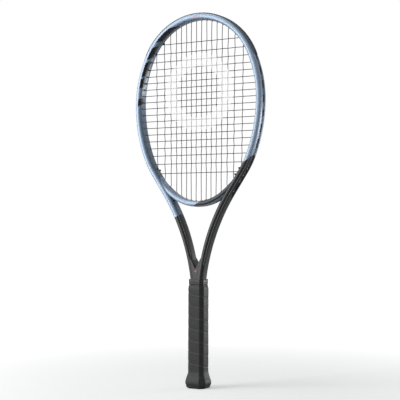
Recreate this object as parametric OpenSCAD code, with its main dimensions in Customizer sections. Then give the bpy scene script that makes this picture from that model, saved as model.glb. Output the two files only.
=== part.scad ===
// Strung tennis racket: a hollow moulded hairpin frame with a throat bridge, grommet strips,
// two strings, moulded pallet halves, a wrapped grip and a butt cap with a trap door.
// Z runs along the handle to the tip, X across the strings, and the string face looks along Y.
// The origin is at the middle of the butt end.

/* [Head] */
// Outer width of the head across the widest place
head_w = 265; // [235:1:300]
// Height from the tip down to the widest place
tip_drop = 163; // [145:1:190]
// Height from the widest place down to the middle line of the throat bridge
low_drop = 186; // [165:1:215]
// Radius of the hoop's middle line at the tip
tip_r = 115; // [95:1:130]
// Radius of the bridge's middle line at the throat
bridge_r = 88; // [74:1:100]

/* [Shafts] */
// Height of the throat: from the top of the handle to the bridge's middle line
throat_l = 137; // [115:1:165]
// Distance between the two shafts' middle lines where they lie side by side
shaft_gap = 10; // [9.6:0.1:10.2]
// Height of the rounded crotch above the handle
crotch_l = 38; // [28:1:46]

/* [Tube section] */
// Width of the hoop's tube, seen from the front
tube_w = 12; // [11:0.1:13.5]
// Width of each shaft inside the handle
leg_w = 10.5; // [10.2:0.1:11.2]
// Depth of the tube at the tip
tip_beam = 23; // [21:0.5:28]
// Depth of the tube at its deepest, below the middle of the head
mid_beam = 26; // [22:0.5:31]
// Depth of the shafts at the handle
neck_beam = 22; // [20:0.5:22.5]
// Thickness of the moulded carbon wall
tube_wall = 1.4; // [1:0.1:1.7]
// Depth of the string groove round the outside of the hoop
groove_d = 2.4; // [2.3:0.1:2.9]
// Width of the string groove
groove_w = 9; // [8.6:0.1:10]
// Depth of the throat bridge, front to back
bridge_beam = 21; // [17:0.5:22]

/* [Stringing] */
// Diameter of the string
string_d = 1.3; // [1.1:0.05:1.4]
// Distance between the two middle main strings
centre_gap = 11; // [9:0.5:12]
// Space from the hoop's inner side to the outermost main string
main_edge = 29; // [26:1:36]
// Space from the hoop's inner tip to the first cross string
cross_top = 39; // [34:1:46]
// Space from the bridge's inner side to the last cross string
cross_low = 51.5; // [48:0.5:60]
// How much nearer the middle the outermost main string is at the throat than at the tip
main_fan = 2.8; // [2.4:0.1:4]
// Outside diameter of a grommet's barrel
barrel_d = 3.5; // [3.2:0.1:3.7]
// Inside diameter of a grommet's barrel
barrel_bore = 2.3; // [2.1:0.1:2.4]

/* [Bumper and strips] */
// Thickness of the bumper guard outside the hoop
bumper_t = 1; // [0.8:0.1:1.6]
// Thickness of the grommet strips on the groove's floor
strip_t = 0.8; // [0.6:0.1:0.9]

/* [Handle] */
// Length of the handle, from the butt end to the top of the collar
handle_l = 199; // [170:1:230]
// Width of the finished grip, across the racket
grip_w = 33; // [31.5:0.1:35.5]
// Depth of the finished grip, front to back
grip_d = 30; // [28.8:0.1:33]
// Size of the grip's corner bevels
grip_bevel = 6; // [5:0.1:7]
// Thickness of the grip's wrapped strap
grip_t = 1.8; // [1.4:0.1:2]
// Height of the collar at the top of the grip
collar_h = 10; // [8:0.5:13]
// Thickness of the rubber collar
collar_t = 1.3; // [1:0.1:1.8]

/* [Butt cap] */
// How much wider than the grip the flared butt is, on each side
flare = 4.4; // [3:0.1:5.5]
// Height of the flare
flare_h = 34; // [26:1:42]
// Height of the cap's bare rim under the grip
rim_h = 4; // [3:0.1:5]
// Width of the trap door
door_w = 23; // [19:0.1:25]
// Depth of the trap door, front to back
door_d = 16; // [13:0.1:18]
// Thickness of the trap door
door_t = 2; // [1.6:0.1:2.4]
// Length of the trap door's snap legs
door_leg = 6; // [5:0.1:6.5]

/* [Hidden] */

// Clearances: between pieces of one assembly, between moving pieces, and of the grommet holes
fit = 0.15;
slide_fit = 0.3;
hole_play = 0.25;

// The hoop's middle line is six arcs a side. These are the directions in which its outside
// faces at their joints, in degrees from straight up, and where the shafts leave it.
TURNS = [0, 28, 62, 90, 112, 146, 180];
LEAVE = 124;
MAINS = 8;          // main strings on each side
CROSSES = 19;
BRIDGE_MAINS = 5;   // main strings on each side that pass through the bridge
BUMPER_CROSSES = 3; // cross strings that the bumper guard covers
SQUARE = 0.7;       // 1 makes the tube an ellipse, lower values make it squarer
FACES = 6;          // sides of grommet holes and barrels

half_tube = tube_w / 2;
half_bridge = tube_w / 2 - 0.5;
hoop_half = head_w / 2 - half_tube;
rise = tip_drop - bumper_t - half_tube;
bridge_z = handle_l + throat_l;
wide_z = bridge_z + low_drop;
tip_z = wide_z + tip_drop;
run_lift = fit + strip_t + 0.25 + string_d / 2;  // from the groove's floor up to a string in it
run_out = half_tube - groove_d + run_lift;
bridge_run = half_bridge - groove_d + run_lift;
barrel_tip = 1.5;
mouth_gap = 0.8;

// Radii of the arcs: the tip's and the bridge's are set, and the rest make the outline meet
// its width and heights.
function det(a, b, c, d) = a * d - b * c;
function dsin(i) = sin(TURNS[i + 1]) - sin(TURNS[i]);
function dcos(i) = cos(TURNS[i]) - cos(TURNS[i + 1]);
up_det = det(dsin(1), dsin(2), dcos(1), dcos(2));
up_x = hoop_half - tip_r * dsin(0);
up_z = rise - tip_r * dcos(0);
low_det = det(dsin(3), dsin(4), dcos(3), dcos(4));
low_x = -hoop_half - bridge_r * dsin(5);
low_z = low_drop - bridge_r * dcos(5);
RADII = [
    tip_r,
    det(up_x, dsin(2), up_z, dcos(2)) / up_det,
    det(dsin(1), up_x, dcos(1), up_z) / up_det,
    det(low_x, dsin(4), low_z, dcos(4)) / low_det,
    det(dsin(3), low_x, dcos(3), low_z) / low_det,
    bridge_r
];

// Points are [x, z] in the plane of the strings until a shape is made from them.
function facing(h) = [sin(h), cos(h)];
function along(h) = [cos(h), -sin(h)];
function arc_start(i) = i == 0 ? [0, wide_z + rise]
    : arc_start(i - 1) + RADII[i - 1] * (facing(TURNS[i]) - facing(TURNS[i - 1]));
CENTRES = [for (i = [0:5]) arc_start(i) - RADII[i] * facing(TURNS[i])];
function arc_of(h) = len([for (t = TURNS) if (t < h) t]) - 1;
// The point of the hoop that faces direction h, e millimetres outside the middle line
function hoop_half_point(h, e) = let (i = max(0, arc_of(h))) CENTRES[i] + (RADII[i] + e) * facing(h);
function hoop_point(h, e) = h < 0 ? flip(hoop_half_point(-h, e))
    : h > 180 ? flip(hoop_half_point(360 - h, e)) : hoop_half_point(h, e);
function flip(p) = [-p[0], p[1]];
function reversed(list) = [for (i = [len(list) - 1:-1:0]) list[i]];

// Direction that the hoop faces where a line offset e inside or outside it reaches x or z
function first_of(list) = list[0];
function top_facing(x, e) = first_of([for (i = [0:2]) let (h = asin((x - CENTRES[i][0]) / (RADII[i] + e)))
    if (h >= TURNS[i] - 0.001 && h <= TURNS[i + 1] + 0.001) h]);
function low_facing(x, e) = first_of([for (i = [5:-1:3]) let (h = 180 - asin((x - CENTRES[i][0])
    / (RADII[i] + e))) if (h >= TURNS[i] - 0.001 && h <= TURNS[i + 1] + 0.001) h]);
function side_facing(z, e) = first_of([for (i = [0:5]) let (h = acos((z - CENTRES[i][1])
    / (RADII[i] + e))) if (h >= TURNS[i] - 0.001 && h <= TURNS[i + 1] + 0.001) h]);

// The shafts leave the hoop straight, then curve back to lie side by side in the handle.
leave_p = hoop_point(LEAVE, 0);
lean = LEAVE - 90;
parallel_z = handle_l - 44;
shaft_dx = leave_p[0] - shaft_gap / 2;
shaft_dz = leave_p[1] - parallel_z;
shaft_run = (shaft_dx * sin(lean) - shaft_dz * (1 - cos(lean))) / (1 - cos(lean));
shaft_r = (shaft_dz * sin(lean) - shaft_dx * cos(lean)) / (1 - cos(lean));
bend_p = leave_p + shaft_run * along(LEAVE);
bend_c = bend_p + shaft_r * facing(LEAVE);
function shaft_x(z) = z < parallel_z ? shaft_gap / 2
    : bend_c[0] - sqrt(shaft_r * shaft_r - (z - parallel_z) * (z - parallel_z));
leg_end = 14;

// Sizes of the tube's section by height
function half_width(z) = lookup(z, [[0, leg_w / 2], [handle_l, leg_w / 2],
    [handle_l + 90, half_tube], [tip_z, half_tube]]);
function half_beam(z) = lookup(z, [[0, neck_beam / 2], [handle_l, neck_beam / 2],
    [bridge_z + 20, mid_beam / 2], [wide_z - 30, mid_beam / 2], [wide_z + 90, tip_beam / 2],
    [tip_z, tip_beam / 2]]);

// Sections are [outward, across] points.
function squared(t) = sign(t) * pow(abs(t), SQUARE);
function oval(half_u, half_v, t, grow = 0) = [half_u * squared(cos(t)) + grow * cos(t),
    half_v * squared(sin(t)) + grow * sin(t)];
function lip_turn(half_v) = asin(pow(groove_w / 2 / half_v, 1 / SQUARE));
// Tube with the groove cut into its outer side; depth 0 leaves it whole
function grooved(half_u, half_v, depth, sides = 18) = let (t0 = lip_turn(half_v))
    concat([for (k = [0:sides - 1]) oval(half_u, half_v, t0 + (360 - 2 * t0) * k / (sides - 1))],
        [for (s = [-1, 1]) [half_u * squared(cos(t0)) - depth, s * (groove_w / 2 - 0.6)]]);
function plain(half_u, half_v, shift = 0, sides = 10) =
    [for (k = [0:sides - 1]) oval(half_u, half_v, 360 * k / sides) + [shift, 0]];
function placed(section, p, h) = [for (q = section)
    [p[0] + q[0] * sin(h), q[1], p[1] + q[0] * cos(h)]];

// A closed skin over a row of equal rings, each clockwise as seen from the row's last ring
module skin(rings) {
    n = len(rings[0]);
    m = len(rings);
    sides = [for (i = [0:m - 2]) for (j = [0:n - 1]) for (half = [0, 1])
        let (a = i * n + j, b = i * n + (j + 1) % n) half == 0 ? [a, b, b + n] : [a, b + n, a + n]];
    ends = [[for (j = [n - 1:-1:0]) j], [for (j = [0:n - 1]) (m - 1) * n + j]];
    polyhedron(points = [for (r = rings) each r], faces = concat(sides, ends));
}

// Stations of the right half of the frame: [point, facing, how much of the groove is cut]
function steps(a, b, n) = [for (k = [0:n - 1]) a + (b - a) * k / n];
hoop_turns = concat(steps(0, 28, 5), steps(28, 62, 6), steps(62, 90, 6), steps(90, 112, 6),
    steps(112, LEAVE, 2));
half_frame = concat(
    [for (h = hoop_turns) [hoop_point(h, 0), h, 1]],
    [for (k = [0:3]) [leave_p + shaft_run * k / 3 * along(LEAVE), LEAVE, 1]],
    [for (k = [1:10]) let (h = LEAVE - lean * k / 10) [bend_c - shaft_r * facing(h), h, 0]],
    [[[shaft_gap / 2, leg_end], 90, 0]]);
function mirrored(list) = [for (i = [len(list) - 1:-1:1]) [flip(list[i][0]), -list[i][1], list[i][2]]];
frame_stations = concat(mirrored(half_frame), half_frame);

module tube_outside(grow = 0) {
    skin([for (s = frame_stations) let (z = s[0][1])
        placed(grooved(half_width(z) + grow, half_beam(z) + grow, groove_d * s[2]), s[0], s[1])]);
}

module tube_inside() {
    last = len(half_frame) - 1;
    open_end = [[half_frame[last][0] - [0, 1], 90, 0]];
    half = concat([for (i = [0:last - 1]) half_frame[i]], open_end);
    skin([for (s = concat(mirrored(half), half)) let (z = s[0][1], d = groove_d * s[2] / 2)
        placed(plain(half_width(z) - tube_wall - d, half_beam(z) - tube_wall, -d), s[0], s[1])]);
}

// The moulded web that fills the crotch between the shafts, rounded from front to back
module crotch_web() {
    low = handle_l - 60;
    top = handle_l + crotch_l;
    zs = [for (k = [0:8]) low + (top + 6 - low) * k / 8];
    web_y = neck_beam / 2 - 0.6;
    intersection() {
        rotate([90, 0, 0])
            linear_extrude(neck_beam, center = true)
                polygon(concat([for (z = zs) [shaft_x(z), z]],
                    [for (i = [8:-1:0]) [-shaft_x(zs[i]), zs[i]]]));
        rotate([90, 0, 90])
            linear_extrude(200, center = true)
                union() {
                    translate([-web_y, low])
                        square([2 * web_y, top - 16 - low]);
                    translate([0, top - 16])
                        scale([web_y, 16])
                            circle(r = 1, $fn = 24);
                }
    }
}

// Holes for the strings: [mouth, facing, length to the groove's floor, length to the string's
// run in the groove]. The mouth is where the string bends, just inside the barrel's tip.
mouth_in = half_tube + barrel_tip + mouth_gap;
bridge_mouth = half_bridge + barrel_tip + mouth_gap;
floor_out = half_tube - groove_d;
// Past the place where the shafts leave the hoop, the groove follows the shaft.
function outward(h, p, e) = h <= LEAVE ? mouth_in + e
    : (e - (p - leave_p) * facing(LEAVE)) / cos(h - LEAVE);
function square_hole(h) = let (p = hoop_point(h, -mouth_in))
    [p, h, outward(h, p, floor_out), outward(h, p, run_out)];

last_main = hoop_half - half_tube - main_edge;
// Share of the string spacing that is even; the rest opens out toward the edges
EVEN_MAINS = 0.863;
EVEN_HIGH = 0.9;
EVEN_LOW = 0.905;
function spread(t, even) = even * t + (1 - even) * pow(t, 5);
function main_x(k) = centre_gap / 2
    + (last_main - centre_gap / 2) * spread(k / (MAINS - 1), EVEN_MAINS);
// Where main string k meets the throat
function low_x(k) = main_x(k) - main_fan * k / (MAINS - 1);
cross_first = tip_z - bumper_t - tube_w - cross_top;
cross_last = bridge_z + half_bridge + cross_low;
cross_mid = (cross_first + cross_last) / 2 + 2.5;  // the middle cross sits a little high
function cross_z(j) = let (t = (j - (CROSSES - 1) / 2) / ((CROSSES - 1) / 2))
    t < 0 ? cross_mid + (cross_first - cross_mid) * spread(-t, EVEN_HIGH)
    : cross_mid + (cross_last - cross_mid) * spread(t, EVEN_LOW);

top_turn = [for (k = [0:MAINS - 1]) top_facing(main_x(k), -mouth_in)];
cross_turn = [for (j = [0:CROSSES - 1]) side_facing(cross_z(j), -mouth_in)];
bumper_reach = (cross_turn[BUMPER_CROSSES - 1] + cross_turn[BUMPER_CROSSES]) / 2;
shoulder_turn = low_facing(low_x(MAINS - 1), -mouth_in);
main_tie_turn = (shoulder_turn + cross_turn[CROSSES - 1]) / 2;
cross_tie_high = (top_turn[MAINS - 2] + cross_turn[0]) / 2;
cross_tie_low = (cross_turn[CROSSES - 1] + low_facing(low_x(MAINS - 2), -mouth_in)) / 2;

// Main holes at the top of the shaft are square to the shaft, not to the hoop.
function shaft_hole(x) = let (p = hoop_point(low_facing(x, -mouth_in), -mouth_in),
    off = (p - leave_p) * facing(LEAVE)) [p, LEAVE, floor_out - off, run_out - off];
// Bridge holes run straight down along their strings.
function bridge_drop(x, e) = hoop_point(low_facing(x, e), e);
function bridge_hole(x) = let (p = bridge_drop(x, -bridge_mouth))
    [p, 180, p[1] - bridge_drop(x, half_bridge - groove_d)[1], p[1] - bridge_drop(x, bridge_run)[1]];

top_holes = [for (h = top_turn) square_hole(h)];
low_holes = concat([for (k = [0:BRIDGE_MAINS - 1]) bridge_hole(low_x(k))],
    [for (k = [BRIDGE_MAINS:MAINS - 2]) shaft_hole(low_x(k))], [square_hole(shoulder_turn)]);
cross_holes = [for (h = cross_turn) square_hole(h)];

LOW_CROSS = CROSSES - 1;   // the last cross string ends at the shoulders
head_holes_both = concat(top_holes, [for (j = [0:BUMPER_CROSSES - 1]) cross_holes[j]]);
side_holes = [for (j = [BUMPER_CROSSES:LOW_CROSS - 1]) cross_holes[j]];
main_tie = square_hole(main_tie_turn);
shoulder_holes = concat([for (k = [BRIDGE_MAINS:MAINS - 1]) low_holes[k]],
    [cross_holes[LOW_CROSS], main_tie]);
throat_holes = [for (k = [0:BRIDGE_MAINS - 1]) low_holes[k]];
function flip_hole(f) = [flip(f[0]), -f[1], f[2], f[3]];
function both(holes) = concat(holes, [for (f = holes) flip_hole(f)]);
cross_tie_left = flip_hole(square_hole(cross_tie_high));
cross_tie_right = square_hole(cross_tie_low);
frame_holes = concat(both(head_holes_both), both(side_holes), both(shoulder_holes),
    [cross_tie_left, cross_tie_right]);

// Puts the children's +Z along a hole, with the mouth at the origin
module at_hole(f) {
    translate([f[0][0], 0, f[0][1]])
        rotate([0, f[1], 0])
            children();
}

// A straight cutter or barrel from a to b along a hole
module along_hole(f, d, a, b) {
    at_hole(f)
        hull() {
            translate([0, 0, a])
                cylinder(d = d, h = 0.01, $fn = FACES);
            translate([0, 0, b - 0.01])
                cylinder(d = d, h = 0.01, $fn = FACES);
        }
}

module string_holes(holes, d) {
    for (f = holes)
        along_hole(f, d, -mouth_gap - 2, f[2] + groove_d + 3);
}

module barrels(holes) {
    for (f = holes)
        along_hole(f, barrel_d, mouth_gap, f[2] + fit + strip_t / 2);
}

hole_d = (barrel_d + 2 * hole_play) / cos(180 / FACES);

module frame_tube() color("lightsteelblue") {
    difference() {
        union() {
            tube_outside();
            crotch_web();
        }
        tube_inside();
        string_holes(frame_holes, hole_d);
    }
}

// Bridge and core share one run of stations, from shaft to shaft.
bridge_turns = concat(steps(LEAVE + 1, 146, 6), steps(146, 214, 16), steps(214, 359 - LEAVE, 6),
    [359 - LEAVE]);

module bridge_skin(half_u, half_v, depth) {
    skin([for (h = bridge_turns) placed(grooved(half_u, half_v, depth), hoop_point(h, 0), h)]);
}

core_turns = concat(steps(142, 218, 13), [218]);

module core_skin(grow) {
    half_u = half_bridge - tube_wall - groove_d / 2 + grow;
    skin([for (h = core_turns) placed(plain(half_u, bridge_beam / 2 - tube_wall + grow, -groove_d / 2, 12),
        hoop_point(h, 0), h)]);
}

module throat_bridge() color("steelblue") {
    difference() {
        bridge_skin(half_bridge, bridge_beam / 2, groove_d);
        tube_outside(0.1);
        core_skin(0);
        string_holes(concat(both(throat_holes), both(shoulder_holes), [cross_tie_right]), hole_d);
    }
}

module bridge_core() color("beige") {
    difference() {
        core_skin(-fit);
        tube_outside(0.2);
        string_holes(both(throat_holes), hole_d);
    }
}

// Strip on the groove's floor between two facings
module floor_strip(turns, out, half_v) {
    skin([for (h = turns) placed([[out + fit, half_v], [out + fit, -half_v],
        [out + fit + strip_t, -half_v], [out + fit + strip_t, half_v]], hoop_point(h, 0), h)]);
}

strip_half = groove_w / 2 - 0.6 - 0.3;

module grommet_strip(turns, out, holes) {
    difference() {
        union() {
            floor_strip(turns, out, strip_half);
            barrels(holes);
        }
        for (f = holes)
            along_hole(f, barrel_bore, mouth_gap - 1, f[2] + fit + strip_t + 1);
    }
}

// Bumper section: a strip on the groove's floor, two side walls, and wings over the outside
function bumper_section(z, reach) = let (hw = half_width(z), hb = half_beam(z), t0 = lip_turn(hb),
    in_v = strip_half, floor_u = floor_out + fit, lip_u = hw * squared(cos(t0)))
    concat(
        [for (k = [3:-1:0]) oval(hw, hb, -t0 - reach * k / 3, fit + 0.05)],
        [[floor_u, -in_v], [floor_u, in_v]],
        [for (k = [0:3]) oval(hw, hb, t0 + reach * k / 3, fit + 0.05)],
        [for (k = [3:-1:1]) oval(hw, hb, t0 + reach * k / 3, bumper_t)],
        [[lip_u + bumper_t, in_v], [lip_u + bumper_t, in_v - 0.8], [floor_u + strip_t, in_v - 0.8],
            [floor_u + strip_t, 0.8 - in_v], [lip_u + bumper_t, 0.8 - in_v], [lip_u + bumper_t, -in_v]],
        [for (k = [1:3]) oval(hw, hb, -t0 - reach * k / 3, bumper_t)]);

module bumper_guard() color("dimgray") {
    ends = [for (k = [0:3]) bumper_reach - 9 + 3 * k];
    half = concat(steps(0, bumper_reach - 9, 11), ends);
    turns = concat([for (i = [len(half) - 1:-1:1]) -half[i]], half);
    holes = concat(both(head_holes_both), [cross_tie_left]);
    difference() {
        union() {
            skin([for (h = turns) let (p = hoop_point(h, 0))
                placed(reversed(bumper_section(p[1], min(30, 3 + (bumper_reach - abs(h)) * 3.2))), p, h)]);
            barrels(holes);
        }
        for (f = holes)
            along_hole(f, barrel_bore, mouth_gap - 1, f[2] + fit + strip_t + 1);
    }
}

strip_end = (cross_turn[LOW_CROSS - 1] + shoulder_turn) / 2 - 0.2;
side_turns = concat([bumper_reach + 0.8], steps(bumper_reach + 3, strip_end, 16), [strip_end]);

module side_grommets(side) {
    turns = side > 0 ? side_turns : [for (i = [len(side_turns) - 1:-1:0]) -side_turns[i]];
    holes = side > 0 ? side_holes : [for (f = side_holes) flip_hole(f)];
    grommet_strip(turns, floor_out, holes);
}

module side_grommets_left() color("gainsboro") side_grommets(-1);

module side_grommets_right() color("gainsboro") side_grommets(1);

// Single grommets at the shoulders: a barrel and a small flange each
module shoulder_grommets() color("gainsboro") {
    for (f = concat(both(shoulder_holes), [cross_tie_right]))
        difference() {
            union() {
                at_hole(f)
                    translate([0, 0, mouth_gap])
                        cylinder(d = barrel_d, h = f[2] + fit - mouth_gap, $fn = 24);
                at_hole(f)
                    translate([0, 0, f[2] + fit + 0.1])
                        cylinder(d = barrel_d + 1.2, h = strip_t - 0.1, $fn = 24);
                at_hole(f)
                    translate([0, 0, f[2] + fit - 0.1])
                        cylinder(d = barrel_d, h = 0.3, $fn = 24);
            }
            at_hole(f)
                translate([0, 0, -1])
                    cylinder(d = barrel_bore, h = f[2] + 4, $fn = 24);
        }
}

throat_turns = let (edge = low_facing(low_x(BRIDGE_MAINS - 1) + 3, half_bridge))
    concat(steps(edge, 360 - edge, 20), [360 - edge]);

module throat_grommets() color("gainsboro")
    grommet_strip(throat_turns, half_bridge - groove_d, both(throat_holes));

// Strings. Each is one run, from its knot through every hole to its other knot. In the bed the
// mains lie in front and the crosses behind; in the groove they keep to their own sides.
bed_y = string_d / 2 + 0.05;
groove_y = 1.6;
ramp = 2.5;
function unit(v) = v / norm(v);
function lift(p, y) = [p[0], y, p[1]];
// Points from the groove into the bed through hole f, for a string heading on toward point q.
// In the groove it comes from direction go; y is its side of the bed.
function exit_bend(f, go, y) = let (d = facing(f[1])) [
    lift(f[0] + f[3] * d + 1.2 * go, sign(y) * groove_y / 2),
    lift(f[0] + (f[3] - 1.2) * d, 0)];
function way_in(f, go, y, q) = concat(exit_bend(f, go, y),
    [lift(f[0], 0), lift(f[0] + ramp * unit(q - f[0]), y)]);
// A string's end: through hole f to the inside of the hoop, where its knot sits
function tie_end(f, go, y) = let (d = facing(f[1])) concat(exit_bend(f, go, y),
    [lift(f[0] + mouth_gap * d, 0), lift(f[0] - 0.6 * d, 0)]);
function groove_run(a, b, out, y, n) = [for (k = [1:n]) lift(hoop_point(a + (b - a) * k / (n + 1), out), y)];

// Loops over the top join mains 0-1, 2-3, 4-5 and 6-7; loops below join 0-0, 1-2, 3-4 and 5-6.
// The last main ends at a tie hole in the shoulder.
function exit_turn(k) = k < BRIDGE_MAINS ? low_facing(low_x(k), bridge_run)
    : k < MAINS - 1 ? LEAVE : shoulder_turn;
function main_run(k) = let (t = top_holes[k], b = low_holes[k], s = k % 2 == 0 ? 1 : -1,
    low_s = k == MAINS - 1 ? 1 : s)
    concat(way_in(t, s * along(t[1]), -bed_y, b[0]),
        reversed(way_in(b, low_s * along(exit_turn(k)), -bed_y, t[0])));
function exit_point(f) = f[0] + f[3] * facing(f[1]);
function low_loop(k) = k < BRIDGE_MAINS - 1
    ? groove_run(exit_turn(k), exit_turn(k + 1), bridge_run, -groove_y, 2)
    : let (a = exit_point(low_holes[k]), b = exit_point(low_holes[k + 1]))
        [for (t = [1 / 3, 2 / 3]) lift(a + (b - a) * t, -groove_y)];
function top_loop(k) = groove_run(top_turn[k], top_turn[k + 1], run_out, -groove_y, 2);
function main_from(k) = concat(k % 2 == 0 ? reversed(main_run(k)) : main_run(k),
    k == MAINS - 1 ? [] : concat(k % 2 == 0 ? top_loop(k) : low_loop(k), main_from(k + 1)));
half_main = concat(main_from(0), tie_end(main_tie, -along(main_tie_turn), -bed_y));
main_route = concat([for (p = reversed(half_main)) [-p[0], p[1], p[2]]],
    groove_run(360 - exit_turn(0), exit_turn(0), bridge_run, -groove_y, 1), half_main);

// The first cross runs from left to right, and the rest alternate.
function cross_run(j) = let (f = cross_holes[j], w = flip_hole(f), s = j % 2 == 0 ? 1 : -1)
    concat(way_in(w, s * along(w[1]), bed_y, f[0]),
        reversed(way_in(f, s * along(f[1]), bed_y, w[0])));
function side_loop(j) = let (s = j % 2 == 0 ? 1 : -1)
    groove_run(s * cross_turn[j], s * cross_turn[j + 1], run_out, groove_y, 1);
function cross_from(j) = concat(j % 2 == 0 ? cross_run(j) : reversed(cross_run(j)),
    j == LOW_CROSS ? [] : concat(side_loop(j), cross_from(j + 1)));
cross_route = concat(reversed(tie_end(cross_tie_left, -along(-cross_tie_high), bed_y)), cross_from(0),
    tie_end(cross_tie_right, -along(cross_tie_low), bed_y));

// Knots are drawn as a swelling at each end of the string.
function swell(i, m) = i < 1 || i > m - 2 ? 2.6 : 1;
module tied_string(route) {
    m = len(route);
    r = string_d / 2;
    skin([for (i = [0:m - 1]) let (
        t = unit(route[min(i + 1, m - 1)] - route[max(i - 1, 0)]),
        a = unit(cross(t, [0, 1, 0])), b = cross(a, t))
        [for (k = [0:5]) route[i] + r * swell(i, m) * (cos(60 * k) * a + sin(60 * k) * b)]]);
}

module main_string() color("black") tied_string(main_route);

module cross_string() color("black") tied_string(cross_route);

// Handle. An eight-sided section: w by d with 45 degree bevels of size c
function octagon(w, d, c) = [for (q = [[1, 1], [-1, 1], [-1, -1], [1, -1]]) each
    (q[0] * q[1] > 0 ? [[q[0] * w / 2, q[1] * (d / 2 - c)], [q[0] * (w / 2 - c), q[1] * d / 2]]
    : [[q[0] * (w / 2 - c), q[1] * d / 2], [q[0] * w / 2, q[1] * (d / 2 - c)]])];

// Prism from z = a to z = b, grown by g all round
module prism(a, b, g = 0) {
    translate([0, 0, a])
        linear_extrude(b - a)
            polygon(octagon(grip_w + 2 * g, grip_d + 2 * g, grip_bevel + 0.586 * g));
}

// Prism that tapers from growth ga at z = a to growth gb at z = b
module taper(a, b, ga, gb) {
    skin([for (q = [[a, ga], [b, gb]]) [for (p = reversed(octagon(grip_w + 2 * q[1],
        grip_d + 2 * q[1], grip_bevel + 0.586 * q[1]))) [p[0], p[1], q[0]]]]);
}

under_grip = -grip_t - fit;
collar_low = handle_l - collar_h;
neck_low = collar_low - 8;
neck_in = -(grip_w - 2 * (shaft_x(handle_l) + leg_w / 2 + 0.35)) / 2;
pallet_low = 9;

module leg_space(a, b) {
    w = shaft_gap + leg_w + 2 * fit;
    d = neck_beam + 2 * fit;
    translate([-w / 2, -d / 2, a])
        cube([w, d, b - a]);
}

module pallet_body() {
    difference() {
        union() {
            prism(pallet_low, neck_low, under_grip);
            taper(neck_low, collar_low, under_grip, neck_in + 0.9);
        }
        leg_space(pallet_low - 1, parallel_z);
        tube_room();
    }
}

// Room for the shafts where they start to part
module tube_room() {
    top = collar_low + 1;
    skin([for (z = [parallel_z - 0.01, parallel_z + 15, parallel_z + 28, top]) let (
        w = shaft_x(z) + leg_w / 2 + fit, d = neck_beam / 2 + fit)
        [[w, -d, z], [-w, -d, z], [-w, d, z], [w, d, z]]]);
}

module pallet_side(s) {
    difference() {
        pallet_body();
        translate([-50, s > 0 ? -100 + 0.1 : -0.1, 0])
            cube([100, 100, handle_l]);
    }
}

module pallet_front() color("tan") pallet_side(-1);

module pallet_back() color("tan") pallet_side(1);

module shaft_plugs() color("khaki") {
    w = leg_w - 2 * tube_wall - 1.6;
    d = neck_beam - 2 * tube_wall - 6;
    for (s = [-1, 1])
        translate([s * shaft_gap / 2 - w / 2, -d / 2, leg_end + 0.5])
            cube([w, d, 16]);
}

cap_wall = 1.5;
cap_floor = door_t + 2;
skirt_top = flare_h - 4;
cap_inner = under_grip + fit;

module butt_cap() color("black") {
    difference() {
        union() {
            taper(0, 1.6, flare - 1.6, flare);
            prism(1.6, rim_h, flare);
            taper(rim_h, skirt_top, flare - grip_t - fit, cap_inner + 0.9);
        }
        prism(pallet_low - 0.3, skirt_top + 1, cap_inner);
        leg_space(cap_floor, pallet_low);
        staples(0.1);
        // recess and opening of the trap door
        translate([-door_w / 2 - slide_fit, -door_d / 2 - slide_fit, -1])
            cube([door_w + 2 * slide_fit, door_d + 2 * slide_fit, door_t + slide_fit + 1]);
        translate([-door_w / 2 + 2, -door_d / 2 + 2, -1])
            cube([door_w - 4, door_d - 4, cap_floor + 2]);
    }
}

module trap_door() color("gray") {
    leg_t = 1.6;
    leg_w2 = door_d - 4 - 2 * slide_fit - 2;
    leg_x = door_w / 2 - 2 - slide_fit - leg_t;
    translate([-door_w / 2, -door_d / 2, 0])
        cube([door_w, door_d, door_t]);
    for (s = [0, 1])
        mirror([s, 0, 0])
            translate([leg_x, -leg_w2 / 2, door_t - 0.01])
                cube([leg_t, leg_w2, door_leg]);
}

// Steel staples through the skirt of the cap into the pallet: one on each wide face
staple_wire = 0.6;
staple_z = skirt_top - 7;
skirt_slope = (flare - grip_t - fit - cap_inner - 0.9) / (skirt_top - rim_h);
function skirt_face(z) = grip_d / 2 + cap_inner + 0.9 + skirt_slope * (skirt_top - z);
module staples(grow) {
    crown = 11;
    wire = staple_wire + 2 * grow;
    face = skirt_face(staple_z);
    leg_in = grip_d / 2 + cap_inner - grow;
    for (s = [0, 1])
        mirror([0, s, 0])
            translate([-crown / 2 - grow, 0, staple_z - grow]) {
                translate([0, face + 0.05 - 2 * grow, 0])
                    cube([crown + 2 * grow, wire + 2 * grow, wire]);
                for (x = [0, crown - staple_wire])
                    translate([x, leg_in + 0.05, 0])
                        cube([wire, face - leg_in, wire]);
            }
}

module butt_staples() color("silver") staples(0);

module grip_wrap() color("dimgray") {
    difference() {
        union() {
            taper(rim_h + fit, flare_h, flare - 0.2, 0);
            prism(flare_h, neck_low, 0);
            taper(neck_low, collar_low - fit, 0, neck_in + 1.5);
        }
        taper(rim_h, skirt_top, flare - grip_t, cap_inner + 0.9 + fit);
        taper(skirt_top - 0.01, skirt_top + 3, cap_inner + 0.9 + fit, -grip_t);
        prism(skirt_top + 2.9, neck_low + 0.01, -grip_t);
        taper(neck_low, collar_low, -grip_t, neck_in + 0.9 + fit);
        tack_space();
        staples(0.1);
    }
}

tack_z = rim_h + 5;
tack_y = skirt_face(tack_z - 2) + 0.6;

module tack_space() {
    translate([0, -tack_y - 0.2, tack_z])
        rotate([-90, 0, 0])
            cylinder(d = 4.4, h = 4, $fn = 24);
}

module grip_tack() color("silver") {
    translate([0, -tack_y, tack_z])
        rotate([-90, 0, 0])
            cylinder(d = 4, h = 0.5, $fn = 24);
}

module finishing_tape() color("black") {
    difference() {
        prism(collar_low, handle_l - 1.5, neck_in + 0.45);
        prism(collar_low - 1, handle_l, neck_in + 0.1);
    }
}

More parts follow.
